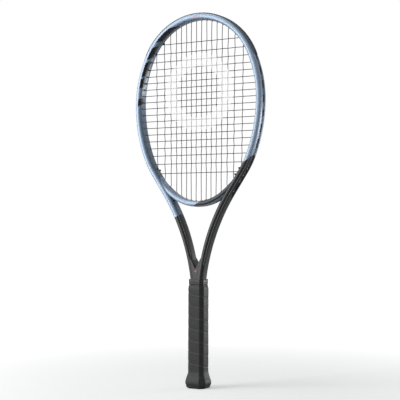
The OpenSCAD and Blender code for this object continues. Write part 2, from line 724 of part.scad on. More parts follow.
module rubber_collar() color("black") {
    inside = neck_in + 0.45 + slide_fit;
    difference() {
        prism(collar_low + slide_fit, handle_l, inside + collar_t);
        prism(collar_low, handle_l + 1, inside);
    }
}

frame_tube();
throat_bridge();
bridge_core();
bumper_guard();
side_grommets_left();
side_grommets_right();
shoulder_grommets();
throat_grommets();
main_string();
cross_string();
pallet_front();
pallet_back();
shaft_plugs();
butt_cap();
butt_staples();
trap_door();
grip_wrap();
grip_tack();
finishing_tape();
rubber_collar();
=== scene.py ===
# %% [markdown]
# # A strung tennis racket
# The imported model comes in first. It fixes where every piece is, so nothing here moves it.
# Each cell below builds one piece over it in finer detail, or gives a finish to a piece that
# is already right. Lengths are worked out in millimetres, like the drawing of a real racket,
# and turned into Blender's metres when a mesh is made.

# %% Load the frame
import math

import bmesh
import bpy
import numpy as np
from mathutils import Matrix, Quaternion, Vector


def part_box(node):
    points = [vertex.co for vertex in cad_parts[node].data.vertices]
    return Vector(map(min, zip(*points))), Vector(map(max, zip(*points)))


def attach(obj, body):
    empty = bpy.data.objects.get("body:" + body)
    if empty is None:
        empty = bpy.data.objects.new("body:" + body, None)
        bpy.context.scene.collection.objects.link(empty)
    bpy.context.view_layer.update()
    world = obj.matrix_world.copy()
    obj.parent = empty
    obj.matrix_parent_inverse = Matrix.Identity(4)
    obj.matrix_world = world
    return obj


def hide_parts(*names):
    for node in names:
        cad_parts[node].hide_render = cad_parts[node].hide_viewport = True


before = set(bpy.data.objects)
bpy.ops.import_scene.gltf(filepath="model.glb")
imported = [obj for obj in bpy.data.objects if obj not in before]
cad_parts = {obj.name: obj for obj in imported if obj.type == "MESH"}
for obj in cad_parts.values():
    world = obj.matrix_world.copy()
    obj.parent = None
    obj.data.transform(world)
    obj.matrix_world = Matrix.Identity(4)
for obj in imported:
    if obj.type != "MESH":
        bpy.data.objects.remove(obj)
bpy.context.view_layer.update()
print("nodes:", ", ".join(sorted(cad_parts)))

# %% [markdown]
# ## The hoop's outline
# A racket's head isn't an ellipse. Makers draw it as a few arcs that run into each other, and
# the same outline guides the tube, the guard, the grommets and the string. A point on it is
# named here by the way its outside faces: 0 degrees is the tip, 90 the right-hand side and
# 180 the bottom of the throat bridge. Two radii are chosen; the others follow from the width
# and heights, which come from the frame's own boxes.

# %% Sizes and the arcs
MM = 0.001
TUBE_W, LEG_W = 12.0, 10.5
TIP_BEAM, MID_BEAM, NECK_BEAM, BRIDGE_BEAM = 23.0, 26.0, 22.0, 21.0
GROOVE_D, GROOVE_W = 2.4, 9.0
BUMPER_T, STRIP_T, FIT = 1.0, 0.8, 0.15
TURNS = [0, 28, 62, 90, 112, 146, 180]
LEAVE = 124                       # where the shafts leave the hoop
TIP_R, BRIDGE_R = 115.0, 88.0
HALF_TUBE, HALF_BRIDGE = TUBE_W / 2, TUBE_W / 2 - 0.5

TIP_Z = (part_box("bumper_guard")[1] / MM).z
HOOP_HALF = (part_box("frame_tube")[1] / MM).x - HALF_TUBE
BRIDGE_Z = (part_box("throat_bridge")[0] / MM).z + HALF_BRIDGE
HANDLE_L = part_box("rubber_collar")[1].z / MM
RISE = 156.0                      # from the head's widest place up to the tip
WIDE_Z = TIP_Z - BUMPER_T - HALF_TUBE - RISE
DROP = WIDE_Z - BRIDGE_Z
print(f"head {2 * (HOOP_HALF + HALF_TUBE):.1f} mm wide, tip at {TIP_Z:.1f}, "
      f"bridge at {BRIDGE_Z:.1f}")


def facing(turn):
    """Unit [x, z] that points the way the hoop's outside faces."""
    return np.array([math.sin(math.radians(turn)), math.cos(math.radians(turn))])


def along(turn):
    """Unit [x, z] along the hoop, clockwise."""
    return np.array([math.cos(math.radians(turn)), -math.sin(math.radians(turn))])


def two_radii(first, second, across, up):
    """Radii of two arcs in a row that together reach across and up."""
    dx = [facing(TURNS[i + 1])[0] - facing(TURNS[i])[0] for i in (first, second)]
    dz = [facing(TURNS[i])[1] - facing(TURNS[i + 1])[1] for i in (first, second)]
    return np.linalg.solve([dx, dz], [across, up])


tip_arc = TIP_R * np.array([facing(TURNS[1])[0], 1 - facing(TURNS[1])[1]])
throat_arc = BRIDGE_R * np.array([-facing(TURNS[5])[0], facing(TURNS[5])[1] + 1])
upper = two_radii(1, 2, HOOP_HALF - tip_arc[0], RISE - tip_arc[1])
lower = two_radii(3, 4, -HOOP_HALF - throat_arc[0], DROP - throat_arc[1])
RADII = [TIP_R, *upper, *lower, BRIDGE_R]
CENTRES, arc_start = [], np.array([0.0, WIDE_Z + RISE])
for i, radius in enumerate(RADII):
    CENTRES.append(arc_start - radius * facing(TURNS[i]))
    arc_start = CENTRES[i] + radius * facing(TURNS[i + 1])
print("arc radii:", np.round(RADII, 1))


def mirror(p):
    return np.array([-p[0], p[1]])


def hoop_point(turn, out=0.0):
    """[x, z] of the hoop where it faces turn, out millimetres outside its middle line."""
    if turn < 0:
        return mirror(hoop_point(-turn, out))
    if turn > 180:
        return mirror(hoop_point(360 - turn, out))
    i = max(0, sum(t < turn for t in TURNS) - 1)
    return CENTRES[i] + (RADII[i] + out) * facing(turn)


# %% [markdown]
# ## The shafts and the size of the tube
# Each shaft leaves the hoop in a straight line and then curves back, so that the two lie side
# by side in the handle. The tube also changes size on its way: it is deepest below the middle
# of the head, where the racket bends most when it hits a ball.

# %% Shafts
SHAFT_GAP = 10.0
PARALLEL_Z = HANDLE_L - 44
leave_p = hoop_point(LEAVE)
LEAN = LEAVE - 90
sin_lean, cos_lean = math.sin(math.radians(LEAN)), math.cos(math.radians(LEAN))
shaft_dx, shaft_dz = leave_p - [SHAFT_GAP / 2, PARALLEL_Z]
SHAFT_RUN = (shaft_dx * sin_lean - shaft_dz * (1 - cos_lean)) / (1 - cos_lean)
SHAFT_R = (shaft_dz * sin_lean - shaft_dx * cos_lean) / (1 - cos_lean)
bend_p = leave_p + SHAFT_RUN * along(LEAVE)
bend_c = bend_p + SHAFT_R * facing(LEAVE)
print(f"shafts: {SHAFT_RUN:.0f} mm straight, then a bend of {SHAFT_R:.0f} mm radius")


def shaft_x(z):
    """Distance of a shaft's middle line from the middle of the racket."""
    drop = max(0.0, z - PARALLEL_Z)
    return bend_c[0] - math.sqrt(SHAFT_R**2 - drop**2)


def half_width(z):
    return np.interp(z, [HANDLE_L, HANDLE_L + 90], [LEG_W / 2, HALF_TUBE])


def half_beam(z):
    heights = [HANDLE_L, BRIDGE_Z + 20, WIDE_Z - 30, WIDE_Z + 90]
    return np.interp(z, heights, np.array([NECK_BEAM, MID_BEAM, MID_BEAM, TIP_BEAM]) / 2)


# %% [markdown]
# ## Turning rings of points into meshes
# Nearly every piece of a racket is a section swept along a line: a tube, a strip, a string, a
# sleeve. So one helper joins a row of rings into a closed skin, and one makes the object.
# Smooth shading is cut at angles over a limit, which keeps moulded corners crisp without
# adding faces.

# %% Mesh helpers
def loft(rings, ring_is_loop=False):
    """Vertices and faces of a closed skin over a row of equal rings."""
    rings = np.asarray(rings, float)
    rows, count = rings.shape[:2]
    faces = []
    for i in range(rows if ring_is_loop else rows - 1):
        a, b = i * count, (i + 1) % rows * count
        for j in range(count):
            k = (j + 1) % count
            faces.append((a + j, a + k, b + k, b + j))
    if not ring_is_loop:
        faces.append(tuple(reversed(range(count))))
        faces.append(tuple(range((rows - 1) * count, rows * count)))
    return rings.reshape(-1, 3), faces


def joined(parts):
    """Several (vertices, faces) pairs as one."""
    verts, faces, start = [], [], 0
    for part_verts, part_faces in parts:
        verts.append(part_verts)
        faces += [tuple(i + start for i in f) for f in part_faces]
        start += len(part_verts)
    return np.concatenate(verts), faces


def make_piece(name, shape, body, stands_for=(), crisp=35, numbers=None):
    """A mesh object in the frame, from millimetres. numbers are named values kept per vertex."""
    verts, faces = shape
    mesh = bpy.data.meshes.new(name)
    mesh.from_pydata((np.asarray(verts) * MM).tolist(), [], faces)
    for key, values in (numbers or {}).items():
        mesh.attributes.new(key, "FLOAT", "POINT").data.foreach_set("value", values)
    edit = bmesh.new()
    edit.from_mesh(mesh)
    bmesh.ops.recalc_face_normals(edit, faces=edit.faces)
    edit.to_mesh(mesh)
    edit.free()
    mesh.shade_smooth()
    mesh.set_sharp_from_angle(angle=math.radians(crisp))
    piece = bpy.data.objects.new(name, mesh)
    bpy.context.scene.collection.objects.link(piece)
    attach(piece, body)
    if stands_for:
        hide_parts(*stands_for)
    print(f"{name}: {len(verts)} vertices, {len(faces)} faces")
    return piece


# %% [markdown]
# ## The tube
# The frame is one long carbon tube, bent into a hairpin. Its section is a squared oval with a
# groove down the outside, where the string runs and the grommet strips sit. One number is
# kept on every vertex: how far round the section it lies. The paint uses it to tell the face,
# the inner wall and the outer wall apart.

# %% Section of the tube
SQUARE = 0.7                      # 1 would be an ellipse, lower values are squarer
LIP_STEP = 0.02                   # the turn jumps from 360 to 0 across this narrow face


def squared(t):
    return math.copysign(abs(t) ** SQUARE, t)


def oval(half_u, half_v, degrees, grow=0.0):
    """[outward, across] of a squared oval."""
    c, s = math.cos(math.radians(degrees)), math.sin(math.radians(degrees))
    return np.array([half_u * squared(c) + grow * c, half_v * squared(s) + grow * s])


def lip_turn(half_v):
    """Where the section's oval meets the groove's lip, in degrees."""
    return math.degrees(math.asin((GROOVE_W / 2 / half_v) ** (1 / SQUARE)))


def tube_section(half_u, half_v, depth, sides=52):
    """Points and their turns round the section, from one groove lip round to the other."""
    t0 = lip_turn(half_v)
    turns = list(np.linspace(t0, 360 - t0, sides))
    lip = oval(half_u, half_v, t0)[0]
    points = [oval(half_u, half_v, t) for t in turns]
    shelf = [(0.25, -0.12), (0.8, -0.45), (1.0, -0.85)]
    down = [[lip - depth * a, GROOVE_W / 2 + b * min(1, depth)] for a, b in shelf]
    points += [[u, -v] for u, v in down] + [[lip - depth, 0]] + [[u, v] for u, v in reversed(down)]
    points += [[lip - LIP_STEP, GROOVE_W / 2]]
    turns += [360 - t0 * s for s in (0.9, 0.7, 0.5, 0.0, 0.5, 0.7, 0.9, 1.0)]
    return np.array(points), turns


def placed(section, point, turn):
    """A section set square to the line that faces turn at point."""
    out = facing(turn)
    return np.column_stack([point[0] + section[:, 0] * out[0], section[:, 1],
                            point[1] + section[:, 0] * out[1]])


# %% Sweep the tube
LEG_END = 14
GROOVE_FADE = 12                  # the groove runs out over this length of the shaft
half_line = [(hoop_point(t), t, 1.0) for t in np.arange(0, LEAVE, 1.5)]
half_line += [(leave_p + SHAFT_RUN * k * along(LEAVE), LEAVE, 1.0) for k in np.linspace(0, 1, 12)]
for k in np.linspace(0, 1, 50)[1:]:
    turn = LEAVE - LEAN * k
    gone = SHAFT_R * math.radians(LEAN * k)
    half_line.append((bend_c - SHAFT_R * facing(turn), turn, max(0.0, 1 - gone / GROOVE_FADE)))
half_line.append((np.array([SHAFT_GAP / 2, LEG_END]), 90, 0.0))
whole_line = [(mirror(p), -t, g) for p, t, g in reversed(half_line[1:])] + half_line

rings, round_section = [], []
for point, turn, groove in whole_line:
    z = point[1]
    section, turns = tube_section(half_width(z), half_beam(z), GROOVE_D * groove)
    rings.append(placed(section, point, turn))
    round_section += turns
tube = make_piece("hoop_and_shafts", loft(rings), "racket", ["frame_tube"],
                  numbers={"round_section": round_section})

# %% [markdown]
# ## The crotch
# Between the two shafts, just above the handle, the carbon closes into a web. It is flat in
# front and its top is a deep vee, softened along its edges, that runs into the shafts. So it is
# built as rings across the racket, each going up the front, over the top and down the back.

# %% Crotch web
WEB_LOW, WEB_TOP, WEB_RISE, WEB_ROUND = HANDLE_L - 20, HANDLE_L + 21, 30, 2.5
VEE_SOFT = 0.12                   # rounds the point of the vee
WEB_BACK = 0.12                   # how far the web's face lies behind the tube's
web_rings, web_round = [], []
for c in np.linspace(-1, 1, 33):
    ridge = WEB_TOP + WEB_RISE * (math.hypot(c, VEE_SOFT) - VEE_SOFT)
    rise = [(WEB_BACK - half_beam(z), z) for z in np.linspace(WEB_LOW, ridge - WEB_ROUND, 18)]
    edge = rise[-1][0]
    rise += [(edge + WEB_ROUND * (1 - math.cos(a)), ridge - WEB_ROUND * (1 - math.sin(a)))
             for a in np.linspace(0, math.pi / 2, 7)[1:]]
    rise += [(edge * (1 - k) * (1 + WEB_ROUND / edge), ridge) for k in (0.34, 0.67, 1.0)]
    profile = rise + [(-y, z) for y, z in reversed(rise[:-1])]
    web_rings.append([[c * shaft_x(z), y, z] for y, z in profile])
    web_round += [270 if y < 0 else 90 for y, _ in profile]
web = make_piece("crotch_web", loft(web_rings), "racket", crisp=60,
                 numbers={"round_section": web_round})

# %% [markdown]
# ## The throat bridge
# The bridge closes the hoop at the bottom. It is the same kind of section, a little slimmer,
# and it sweeps from one shaft to the other. Its ends run inside the shafts, where the carbon
# of both was moulded together.

# %% Bridge
bridge_rings, bridge_round = [], []
for turn in np.linspace(LEAVE + 2, 358 - LEAVE, 130):
    section, turns = tube_section(HALF_BRIDGE, BRIDGE_BEAM / 2, GROOVE_D)
    bridge_rings.append(placed(section, hoop_point(turn), turn))
    bridge_round += turns
bridge = make_piece("throat_bridge_yoke", loft(bridge_rings), "racket",
                    ["throat_bridge"], numbers={"round_section": bridge_round})

# %% [markdown]
# ## Where the string holes are
# Sixteen main strings run up the racket and nineteen crosses run over it. Each one leaves the
# frame through a hole drilled square to the tube, and the spaces open out towards the edges,
# where a ball is hit less often. A hole is kept as its inner mouth, the way it faces, and how
# far it is from the mouth to the groove's floor and to the string in the groove.

# %% String holes
MAINS, CROSSES, BRIDGE_MAINS, BUMPER_CROSSES = 8, 19, 5, 3
STRING_D, CENTRE_GAP, MAIN_EDGE = 1.3, 11.0, 29.0
CROSS_TOP, CROSS_LOW, MAIN_FAN = 39.0, 51.5, 2.8
EVEN_MAINS, EVEN_HIGH, EVEN_LOW = 0.863, 0.9, 0.905
BARREL_D, BARREL_BORE = 3.5, 2.3
BARREL_PROUD, MOUTH_GAP = 1.5, 0.8
STRING_GAP = 0.25                 # between the string and the strip that it lies on
mouth_in = HALF_TUBE + BARREL_PROUD + MOUTH_GAP
bridge_mouth = HALF_BRIDGE + BARREL_PROUD + MOUTH_GAP
floor_out = HALF_TUBE - GROOVE_D
run_lift = FIT + STRIP_T + STRING_GAP + STRING_D / 2
run_out = floor_out + run_lift
bridge_run = HALF_BRIDGE - GROOVE_D + run_lift


def turn_at(x=None, z=None, out=0.0, low=False):
    """The turn at which a line offset from the hoop reaches x, above or below, or height z."""
    turns = np.linspace(90 if low else 0, 180 if (low or z is not None) else 90, 2401)
    points = np.array([hoop_point(t, out) for t in turns])
    gap = points[:, 0] - x if x is not None else points[:, 1] - z
    crossing = np.nonzero(gap[:-1] * gap[1:] <= 0)[0][-1 if low else 0]
    share = gap[crossing] / (gap[crossing] - gap[crossing + 1])
    return turns[crossing] + share * (turns[1] - turns[0])


def spread(t, even):
    return even * t + (1 - even) * t**5


last_main = HOOP_HALF - HALF_TUBE - MAIN_EDGE
main_x = [CENTRE_GAP / 2 + (last_main - CENTRE_GAP / 2) * spread(k / (MAINS - 1), EVEN_MAINS)
          for k in range(MAINS)]
low_x = [x - MAIN_FAN * k / (MAINS - 1) for k, x in enumerate(main_x)]
cross_first = TIP_Z - BUMPER_T - TUBE_W - CROSS_TOP
cross_last = BRIDGE_Z + HALF_BRIDGE + CROSS_LOW
cross_mid = (cross_first + cross_last) / 2 + 2.5
cross_z = []
for j in range(CROSSES):
    t = (j - (CROSSES - 1) / 2) / ((CROSSES - 1) / 2)
    end, even = (cross_first, EVEN_HIGH) if t < 0 else (cross_last, EVEN_LOW)
    cross_z.append(cross_mid + (end - cross_mid) * spread(abs(t), even))

top_turn = [turn_at(x=x, out=-mouth_in) for x in main_x]
cross_turn = [turn_at(z=z, out=-mouth_in) for z in cross_z]
bumper_reach = (cross_turn[BUMPER_CROSSES - 1] + cross_turn[BUMPER_CROSSES]) / 2
shoulder_turn = turn_at(x=low_x[-1], out=-mouth_in, low=True)
main_tie_turn = (shoulder_turn + cross_turn[-1]) / 2
cross_tie_high = (top_turn[-2] + cross_turn[0]) / 2
cross_tie_low = (cross_turn[-1] + turn_at(x=low_x[-2], out=-mouth_in, low=True)) / 2


# %% [markdown]
# ## Three kinds of hole
# A hole in the hoop is square to it. Past the place where the shafts leave, its lengths are
# measured to the shaft's groove. A few holes beside the bridge are square to the straight shaft
# instead, and those of the bridge go straight down.

# %% Hole helpers
def square_hole(turn):
    """A hole at a turn of the hoop: mouth, facing turn, length to floor and length to string."""
    p = hoop_point(turn, -mouth_in)
    if turn <= LEAVE:
        return p, turn, mouth_in + floor_out, mouth_in + run_out
    off, slant = (p - leave_p) @ facing(LEAVE), math.cos(math.radians(turn - LEAVE))
    return p, turn, (floor_out - off) / slant, (run_out - off) / slant


def shaft_hole(x):
    p = hoop_point(turn_at(x=x, out=-mouth_in, low=True), -mouth_in)
    off = (p - leave_p) @ facing(LEAVE)
    return p, LEAVE, floor_out - off, run_out - off


def bridge_hole(x):
    def down(out):
        return hoop_point(turn_at(x=x, out=out, low=True), out)
    p = down(-bridge_mouth)
    return p, 180, p[1] - down(HALF_BRIDGE - GROOVE_D)[1], p[1] - down(bridge_run)[1]


def flipped(hole):
    return mirror(hole[0]), -hole[1], hole[2], hole[3]


def both(holes):
    return list(holes) + [flipped(h) for h in holes]


top_holes = [square_hole(t) for t in top_turn]
low_holes = [bridge_hole(x) for x in low_x[:BRIDGE_MAINS]]
low_holes += [shaft_hole(x) for x in low_x[BRIDGE_MAINS:-1]] + [square_hole(shoulder_turn)]
cross_holes = [square_hole(t) for t in cross_turn]
main_tie = square_hole(main_tie_turn)
cross_tie_left = flipped(square_hole(cross_tie_high))
cross_tie_right = square_hole(cross_tie_low)
print(f"{2 * MAINS} mains and {CROSSES} crosses, guard to {bumper_reach:.1f} degrees")

# %% [markdown]
# ## Grommets
# Bare carbon would cut the string, so every hole is lined with a nylon barrel. Most barrels
# are moulded in a row on one strip that lies on the groove's floor. A barrel is a lathe shape:
# one closed profile turned about the hole's axis. Its tip is rounded where the string bends.

# %% Barrels and strips
BARREL_SIDES = 20
STRIP_HALF = GROOVE_W / 2 - 0.9


def turned(hole, profile, sides=BARREL_SIDES):
    """Turns a closed profile of [radius, distance along the hole] about the hole's axis."""
    mouth, turn = hole[0], hole[1]
    out, side = facing(turn), along(turn)
    rings = []
    for a in np.linspace(0, 2 * math.pi, sides, endpoint=False):
        rings.append([[mouth[0] + d * out[0] + r * math.cos(a) * side[0], r * math.sin(a),
                       mouth[1] + d * out[1] + r * math.cos(a) * side[1]] for r, d in profile])
    return loft(rings, ring_is_loop=True)


def barrel(hole, end_grow=0.0):
    """One grommet barrel; end_grow widens it where a single grommet has its own flange."""
    r, bore, end = BARREL_D / 2, BARREL_BORE / 2, hole[2] + FIT + STRIP_T
    lip = end - STRIP_T + 0.1
    outside = [(bore + 0.15, MOUTH_GAP), (r - 0.22, MOUTH_GAP + 0.06), (r, MOUTH_GAP + 0.35)]
    outside += [(r, lip), (r + end_grow, lip + 0.05), (r + end_grow, end - 0.15),
                (r + end_grow - 0.15, end)]
    inside = [(bore + 0.25, end), (bore, end - 0.3), (bore, MOUTH_GAP + 0.3)]
    return turned(hole, outside + inside)


def floor_strip(turns, out):
    """A strip on the groove's floor, with its long edges rounded."""
    low, high, half = out + FIT, out + FIT + STRIP_T, STRIP_HALF
    section = [(low, half), (low, 0), (low, -half), (high - 0.3, -half), (high - 0.08, 0.1 - half),
               (high, 0.4 - half), (high, 0), (high, half - 0.4), (high - 0.08, half - 0.1),
               (high - 0.3, half)]
    return loft([placed(np.array(section), hoop_point(t), t) for t in turns])


def with_barrels(name, base, holes, node):
    """A moulding and its barrels as one piece. The barrels' faces take the second material."""
    piece = make_piece(name, joined([base] + [barrel(h) for h in holes]), "racket", [node])
    first = len(base[1])
    piece.data.polygons.foreach_set("material_index",
                                    [int(i >= first) for i in range(len(piece.data.polygons))])
    return piece


def grommet_strip(name, first, last, out, holes, node):
    return with_barrels(name, floor_strip(np.linspace(first, last, 90), out), holes,
                        node)


side_holes = cross_holes[BUMPER_CROSSES:-1]
strip_end = (cross_turn[-2] + shoulder_turn) / 2 - 0.2
grommet_pieces = [
    grommet_strip("grommet_strip_right", bumper_reach + 0.8, strip_end, floor_out, side_holes,
                  "side_grommets_right"),
    grommet_strip("grommet_strip_left", -strip_end, -bumper_reach - 0.8, floor_out,
                  [flipped(h) for h in side_holes], "side_grommets_left")]
throat_edge = turn_at(x=low_x[BRIDGE_MAINS - 1] + 3, out=HALF_BRIDGE, low=True)
throat_holes = both(low_holes[:BRIDGE_MAINS])
grommet_pieces.append(
    grommet_strip("grommet_strip_throat", throat_edge, 360 - throat_edge,
                  HALF_BRIDGE - GROOVE_D, throat_holes, "throat_grommets"))
shoulder_holes = low_holes[BRIDGE_MAINS:] + [cross_holes[-1], main_tie]
single = [barrel(h, end_grow=0.6) for h in both(shoulder_holes) + [cross_tie_right]]
singles = make_piece("shoulder_grommet_set", joined(single), "racket",
                     ["shoulder_grommets"])

# %% [markdown]
# ## The bumper guard
# The top of the head scrapes the court, so a nylon guard wraps it. In section it has a floor
# in the groove, two side walls and two wings that hug the tube. Its wings narrow to a point at
# each end. The outside is moulded with shallow ribs across it: every few millimetres the
# stations dip, which costs nothing but a few more rings.

# %% Guard
RIB_PITCH, RIB_GAP, RIB_DEPTH = 5.0, 1.2, 0.35
RIB_R = 120                       # the ribs' pitch is walked on a circle of this radius
WING, WING_TIP, WING_GROWTH, RIBBED_WING = 30.0, 3, 3.2, 25


def guard_section(z, reach, dip):
    hw, hb = half_width(z), half_beam(z)
    t0, inner, outer = lip_turn(hb), FIT + 0.05, BUMPER_T - dip
    lip, floor = hw * squared(math.cos(math.radians(t0))), floor_out + FIT
    under = [oval(hw, hb, t, inner) for t in np.linspace(-t0 - reach, -t0, 8)]
    under += [[floor, -STRIP_HALF], [floor, 0], [floor, STRIP_HALF]]
    under += [oval(hw, hb, t, inner) for t in np.linspace(t0, t0 + reach, 8)]
    over = [oval(hw, hb, t, outer) for t in np.linspace(t0 + reach, t0 + 1, 8)]
    over += [[lip + outer - 0.1, STRIP_HALF - 0.15], [lip + outer - 0.35, STRIP_HALF - 0.6],
             [floor + STRIP_T + 0.2, STRIP_HALF - 0.85], [floor + STRIP_T, STRIP_HALF - 1.1]]
    channel = [[u, -v] for u, v in reversed(over[-4:])]
    over += [[floor + STRIP_T, 0]] + channel
    over += [oval(hw, hb, t, outer) for t in np.linspace(-t0 - 1, -t0 - reach, 8)]
    return np.array(over + under)


guard_rings = []
for turn in np.arange(-bumper_reach, bumper_reach + 0.01, 0.45):
    point = hoop_point(turn)
    reach = min(WING, WING_TIP + (bumper_reach - abs(turn)) * WING_GROWTH)
    walked = abs(turn) * math.radians(1) * RIB_R
    dip = RIB_DEPTH if (walked % RIB_PITCH) < RIB_GAP and reach > RIBBED_WING else 0.0
    guard_rings.append(placed(guard_section(point[1], reach, dip), point, turn))
guard_holes = both(top_holes + cross_holes[:BUMPER_CROSSES]) + [cross_tie_left]
guard = with_barrels("head_guard", loft(guard_rings), guard_holes,
                     "bumper_guard")

# %% [markdown]
# ## The strings
# There are two strings. Each goes out through one hole, along the groove and back in through
# the next, so that one length of string makes all the mains and another all the crosses. In
# the bed they weave: where a main goes over a cross, the next one goes under. Each run is laid
# out here as points with a small wave front to back, then a round section is swept along it.
# Corner cutting rounds the bends where the string turns into the groove.

# %% Route helpers
GROOVE_Y, ELBOW = 1.6, 1.6         # the strings lie beside each other; size of their bends
WEAVE = STRING_D / 2 + 0.04
main_lines = [(-1, k) for k in reversed(range(MAINS))] + [(1, k) for k in range(MAINS)]


def lifted(p, y):
    return [float(p[0]), y, float(p[1])]


def main_at(line, z):
    """x of main string number line, from the left, at height z."""
    side, k = main_lines[line]
    high, low = top_holes[k][0], low_holes[k][0]
    return side * np.interp(z, [low[1], high[1]], [low[0], high[0]])


def weave(line, crossing):
    """1 where this main passes in front of this cross, which is towards -Y, and else -1."""
    return -1 if (line + crossing) % 2 else 1


def rounded(points, rounds=2):
    """Cuts the corners of a row of points, as many times as asked."""
    points = np.asarray(points, float)
    for _ in range(rounds):
        a, b = points[:-1], points[1:]
        cut = np.stack([a * 0.75 + b * 0.25, a * 0.25 + b * 0.75], axis=1).reshape(-1, 3)
        points = np.concatenate([points[:1], cut, points[-1:]])
    return points


def waved(start, end, knots):
    """Points from start to end; knots are (share of the way, y), joined by smooth waves."""
    shares = np.array([0.0] + [s for s, _ in knots] + [1.0])
    ys = np.array([0.0] + [y for _, y in knots] + [0.0])
    made = []
    for s0, s1, y0, y1 in zip(shares[:-1], shares[1:], ys[:-1], ys[1:]):
        for t in (0.0, 0.2, 0.4, 0.6, 0.8):
            p = start + (end - start) * (s0 + (s1 - s0) * t)
            made.append(lifted(p, y0 + (y1 - y0) * (1 - math.cos(math.pi * t)) / 2))
    return made + [lifted(end, 0.0)]


def swept(points, radius, sides=10):
    """A round section carried along a row of points without twisting."""
    points = np.asarray(points, float)
    ahead = np.gradient(points, axis=0)
    ahead /= np.linalg.norm(ahead, axis=1)[:, None]
    across = Vector(ahead[0]).orthogonal().normalized()
    rings = []
    for i, (p, d) in enumerate(zip(points, ahead)):
        if i:
            across = Vector(ahead[i - 1]).rotation_difference(Vector(d)) @ across
        a = np.array((across - Vector(d) * across.dot(Vector(d))).normalized())
        b = np.cross(d, a)
        turns = np.linspace(0, 2 * math.pi, sides, endpoint=False)
        rings.append([p + radius * (math.cos(t) * a + math.sin(t) * b) for t in turns])
    return loft(rings)


def elbow(hole, go, y):
    """From the groove into a hole, for a string that comes along the groove from go."""
    out = facing(hole[1])
    return [lifted(hole[0] + hole[3] * out + ELBOW * go, y / 2),
            lifted(hole[0] + hole[3] * out, y / 4),
            lifted(hole[0] + (hole[3] - ELBOW) * out, 0.0)]


def groove_run(a, b, out, y, count):
    return [lifted(hoop_point(t, out), y) for t in np.linspace(a, b, count + 2)[1:-1]]


# %% Main string
def main_run(k, line):
    """Points of main k from the tip's groove down to the throat's; line says how it weaves."""
    top, low = top_holes[k], low_holes[k]
    side = 1 if k % 2 == 0 else -1
    low_side = 1 if k == MAINS - 1 else side
    knots = []
    for j, z in enumerate(cross_z):
        if z < top[0][1] - 2:
            knots.append(((top[0][1] - z) / (top[0][1] - low[0][1]), -WEAVE * weave(line, j)))
    return (elbow(top, side * along(top[1]), -GROOVE_Y) + waved(top[0], low[0], knots)
            + elbow(low, low_side * along(exit_turn(k)), -GROOVE_Y)[::-1])


def exit_turn(k):
    """The turn at which main k goes into the groove at the throat."""
    if k < BRIDGE_MAINS:
        return turn_at(x=low_x[k], out=bridge_run, low=True)
    return LEAVE if k < MAINS - 1 else shoulder_turn


def low_loop(k):
    """From main k to the next one, outside the throat."""
    if k < BRIDGE_MAINS - 1:
        return groove_run(exit_turn(k), exit_turn(k + 1), bridge_run, -GROOVE_Y, 5)
    a, b = (h[0] + h[3] * facing(h[1]) for h in (low_holes[k], low_holes[k + 1]))
    return [lifted(a + (b - a) * t, -GROOVE_Y) for t in (0.3, 0.5, 0.7)]


def tie_end(hole, go, y):
    return elbow(hole, go, y) + [lifted(hole[0] + d * facing(hole[1]), 0.0) for d in (0.8, -2.2)]


def half_route(lines):
    """The string from the middle of the throat out to its knot; lines number its mains."""
    route = []
    for k, line in enumerate(lines):
        run = main_run(k, line)
        route += run[::-1] if k % 2 == 0 else run
        if k < MAINS - 1:
            route += (groove_run(top_turn[k], top_turn[k + 1], run_out, -GROOVE_Y, 4)
                      if k % 2 == 0 else low_loop(k))
    return route + tie_end(main_tie, -along(main_tie_turn), -GROOVE_Y)


half_main = half_route(range(MAINS, 2 * MAINS))
other_half = [[-x, y, z] for x, y, z in reversed(half_route(range(MAINS - 1, -1, -1)))]
middle = groove_run(360 - exit_turn(0), exit_turn(0), bridge_run, -GROOVE_Y, 3)
main_points = rounded(other_half + middle + half_main)
main_piece = make_piece("main_string_run", swept(main_points, STRING_D / 2), "racket",
                        ["main_string"])

# %% Cross string
cross_points = tie_end(cross_tie_left, -along(-cross_tie_high), GROOVE_Y)[::-1]
for j in range(CROSSES):
    right, left = cross_holes[j], flipped(cross_holes[j])
    side = 1 if j % 2 == 0 else -1
    start, end = left[0], right[0]
    knots = []
    for line in range(2 * MAINS):
        x = main_at(line, cross_z[j])
        if abs(x) < end[0] - 2:
            knots.append(((x - start[0]) / (end[0] - start[0]), WEAVE * weave(line, j)))
    run = (elbow(left, side * along(left[1]), GROOVE_Y) + waved(start, end, knots)
           + elbow(right, side * along(right[1]), GROOVE_Y)[::-1])
    cross_points += run if j % 2 == 0 else run[::-1]
    if j < CROSSES - 1:
        cross_points += groove_run(side * cross_turn[j], side * cross_turn[j + 1], run_out,
                                   GROOVE_Y, 3)
cross_points += tie_end(cross_tie_right, -along(cross_tie_low), GROOVE_Y)
cross_piece = make_piece("cross_string_run", swept(rounded(cross_points), STRING_D / 2),
                         "racket", ["cross_string"])

# %% [markdown]
# ## The knots
# Each string ends in a knot, pulled tight against the inside of the frame beside a hole that
# is already in use. A trefoil is the simplest real knot, and three sines draw it exactly, so
# it is swept with the same helper as the string.

# %% Knots
KNOT_SIZE, KNOT_DEPTH, KNOT_IN = 0.5, 1.35, 2.1


def knot(hole):
    out, side = facing(hole[1]), along(hole[1])
    centre = hole[0] - KNOT_IN * out
    points = []
    for t in np.linspace(0, 2 * math.pi, 60):
        u = KNOT_SIZE * (math.sin(t) + 2 * math.sin(2 * t))
        v = KNOT_SIZE * (math.cos(t) - 2 * math.cos(2 * t))
        w = -KNOT_DEPTH * KNOT_SIZE * math.sin(3 * t)
        p = centre + u * side + w * out
        points.append([p[0], v, p[1]])
    return swept(points, STRING_D / 2 * 0.92, sides=8)


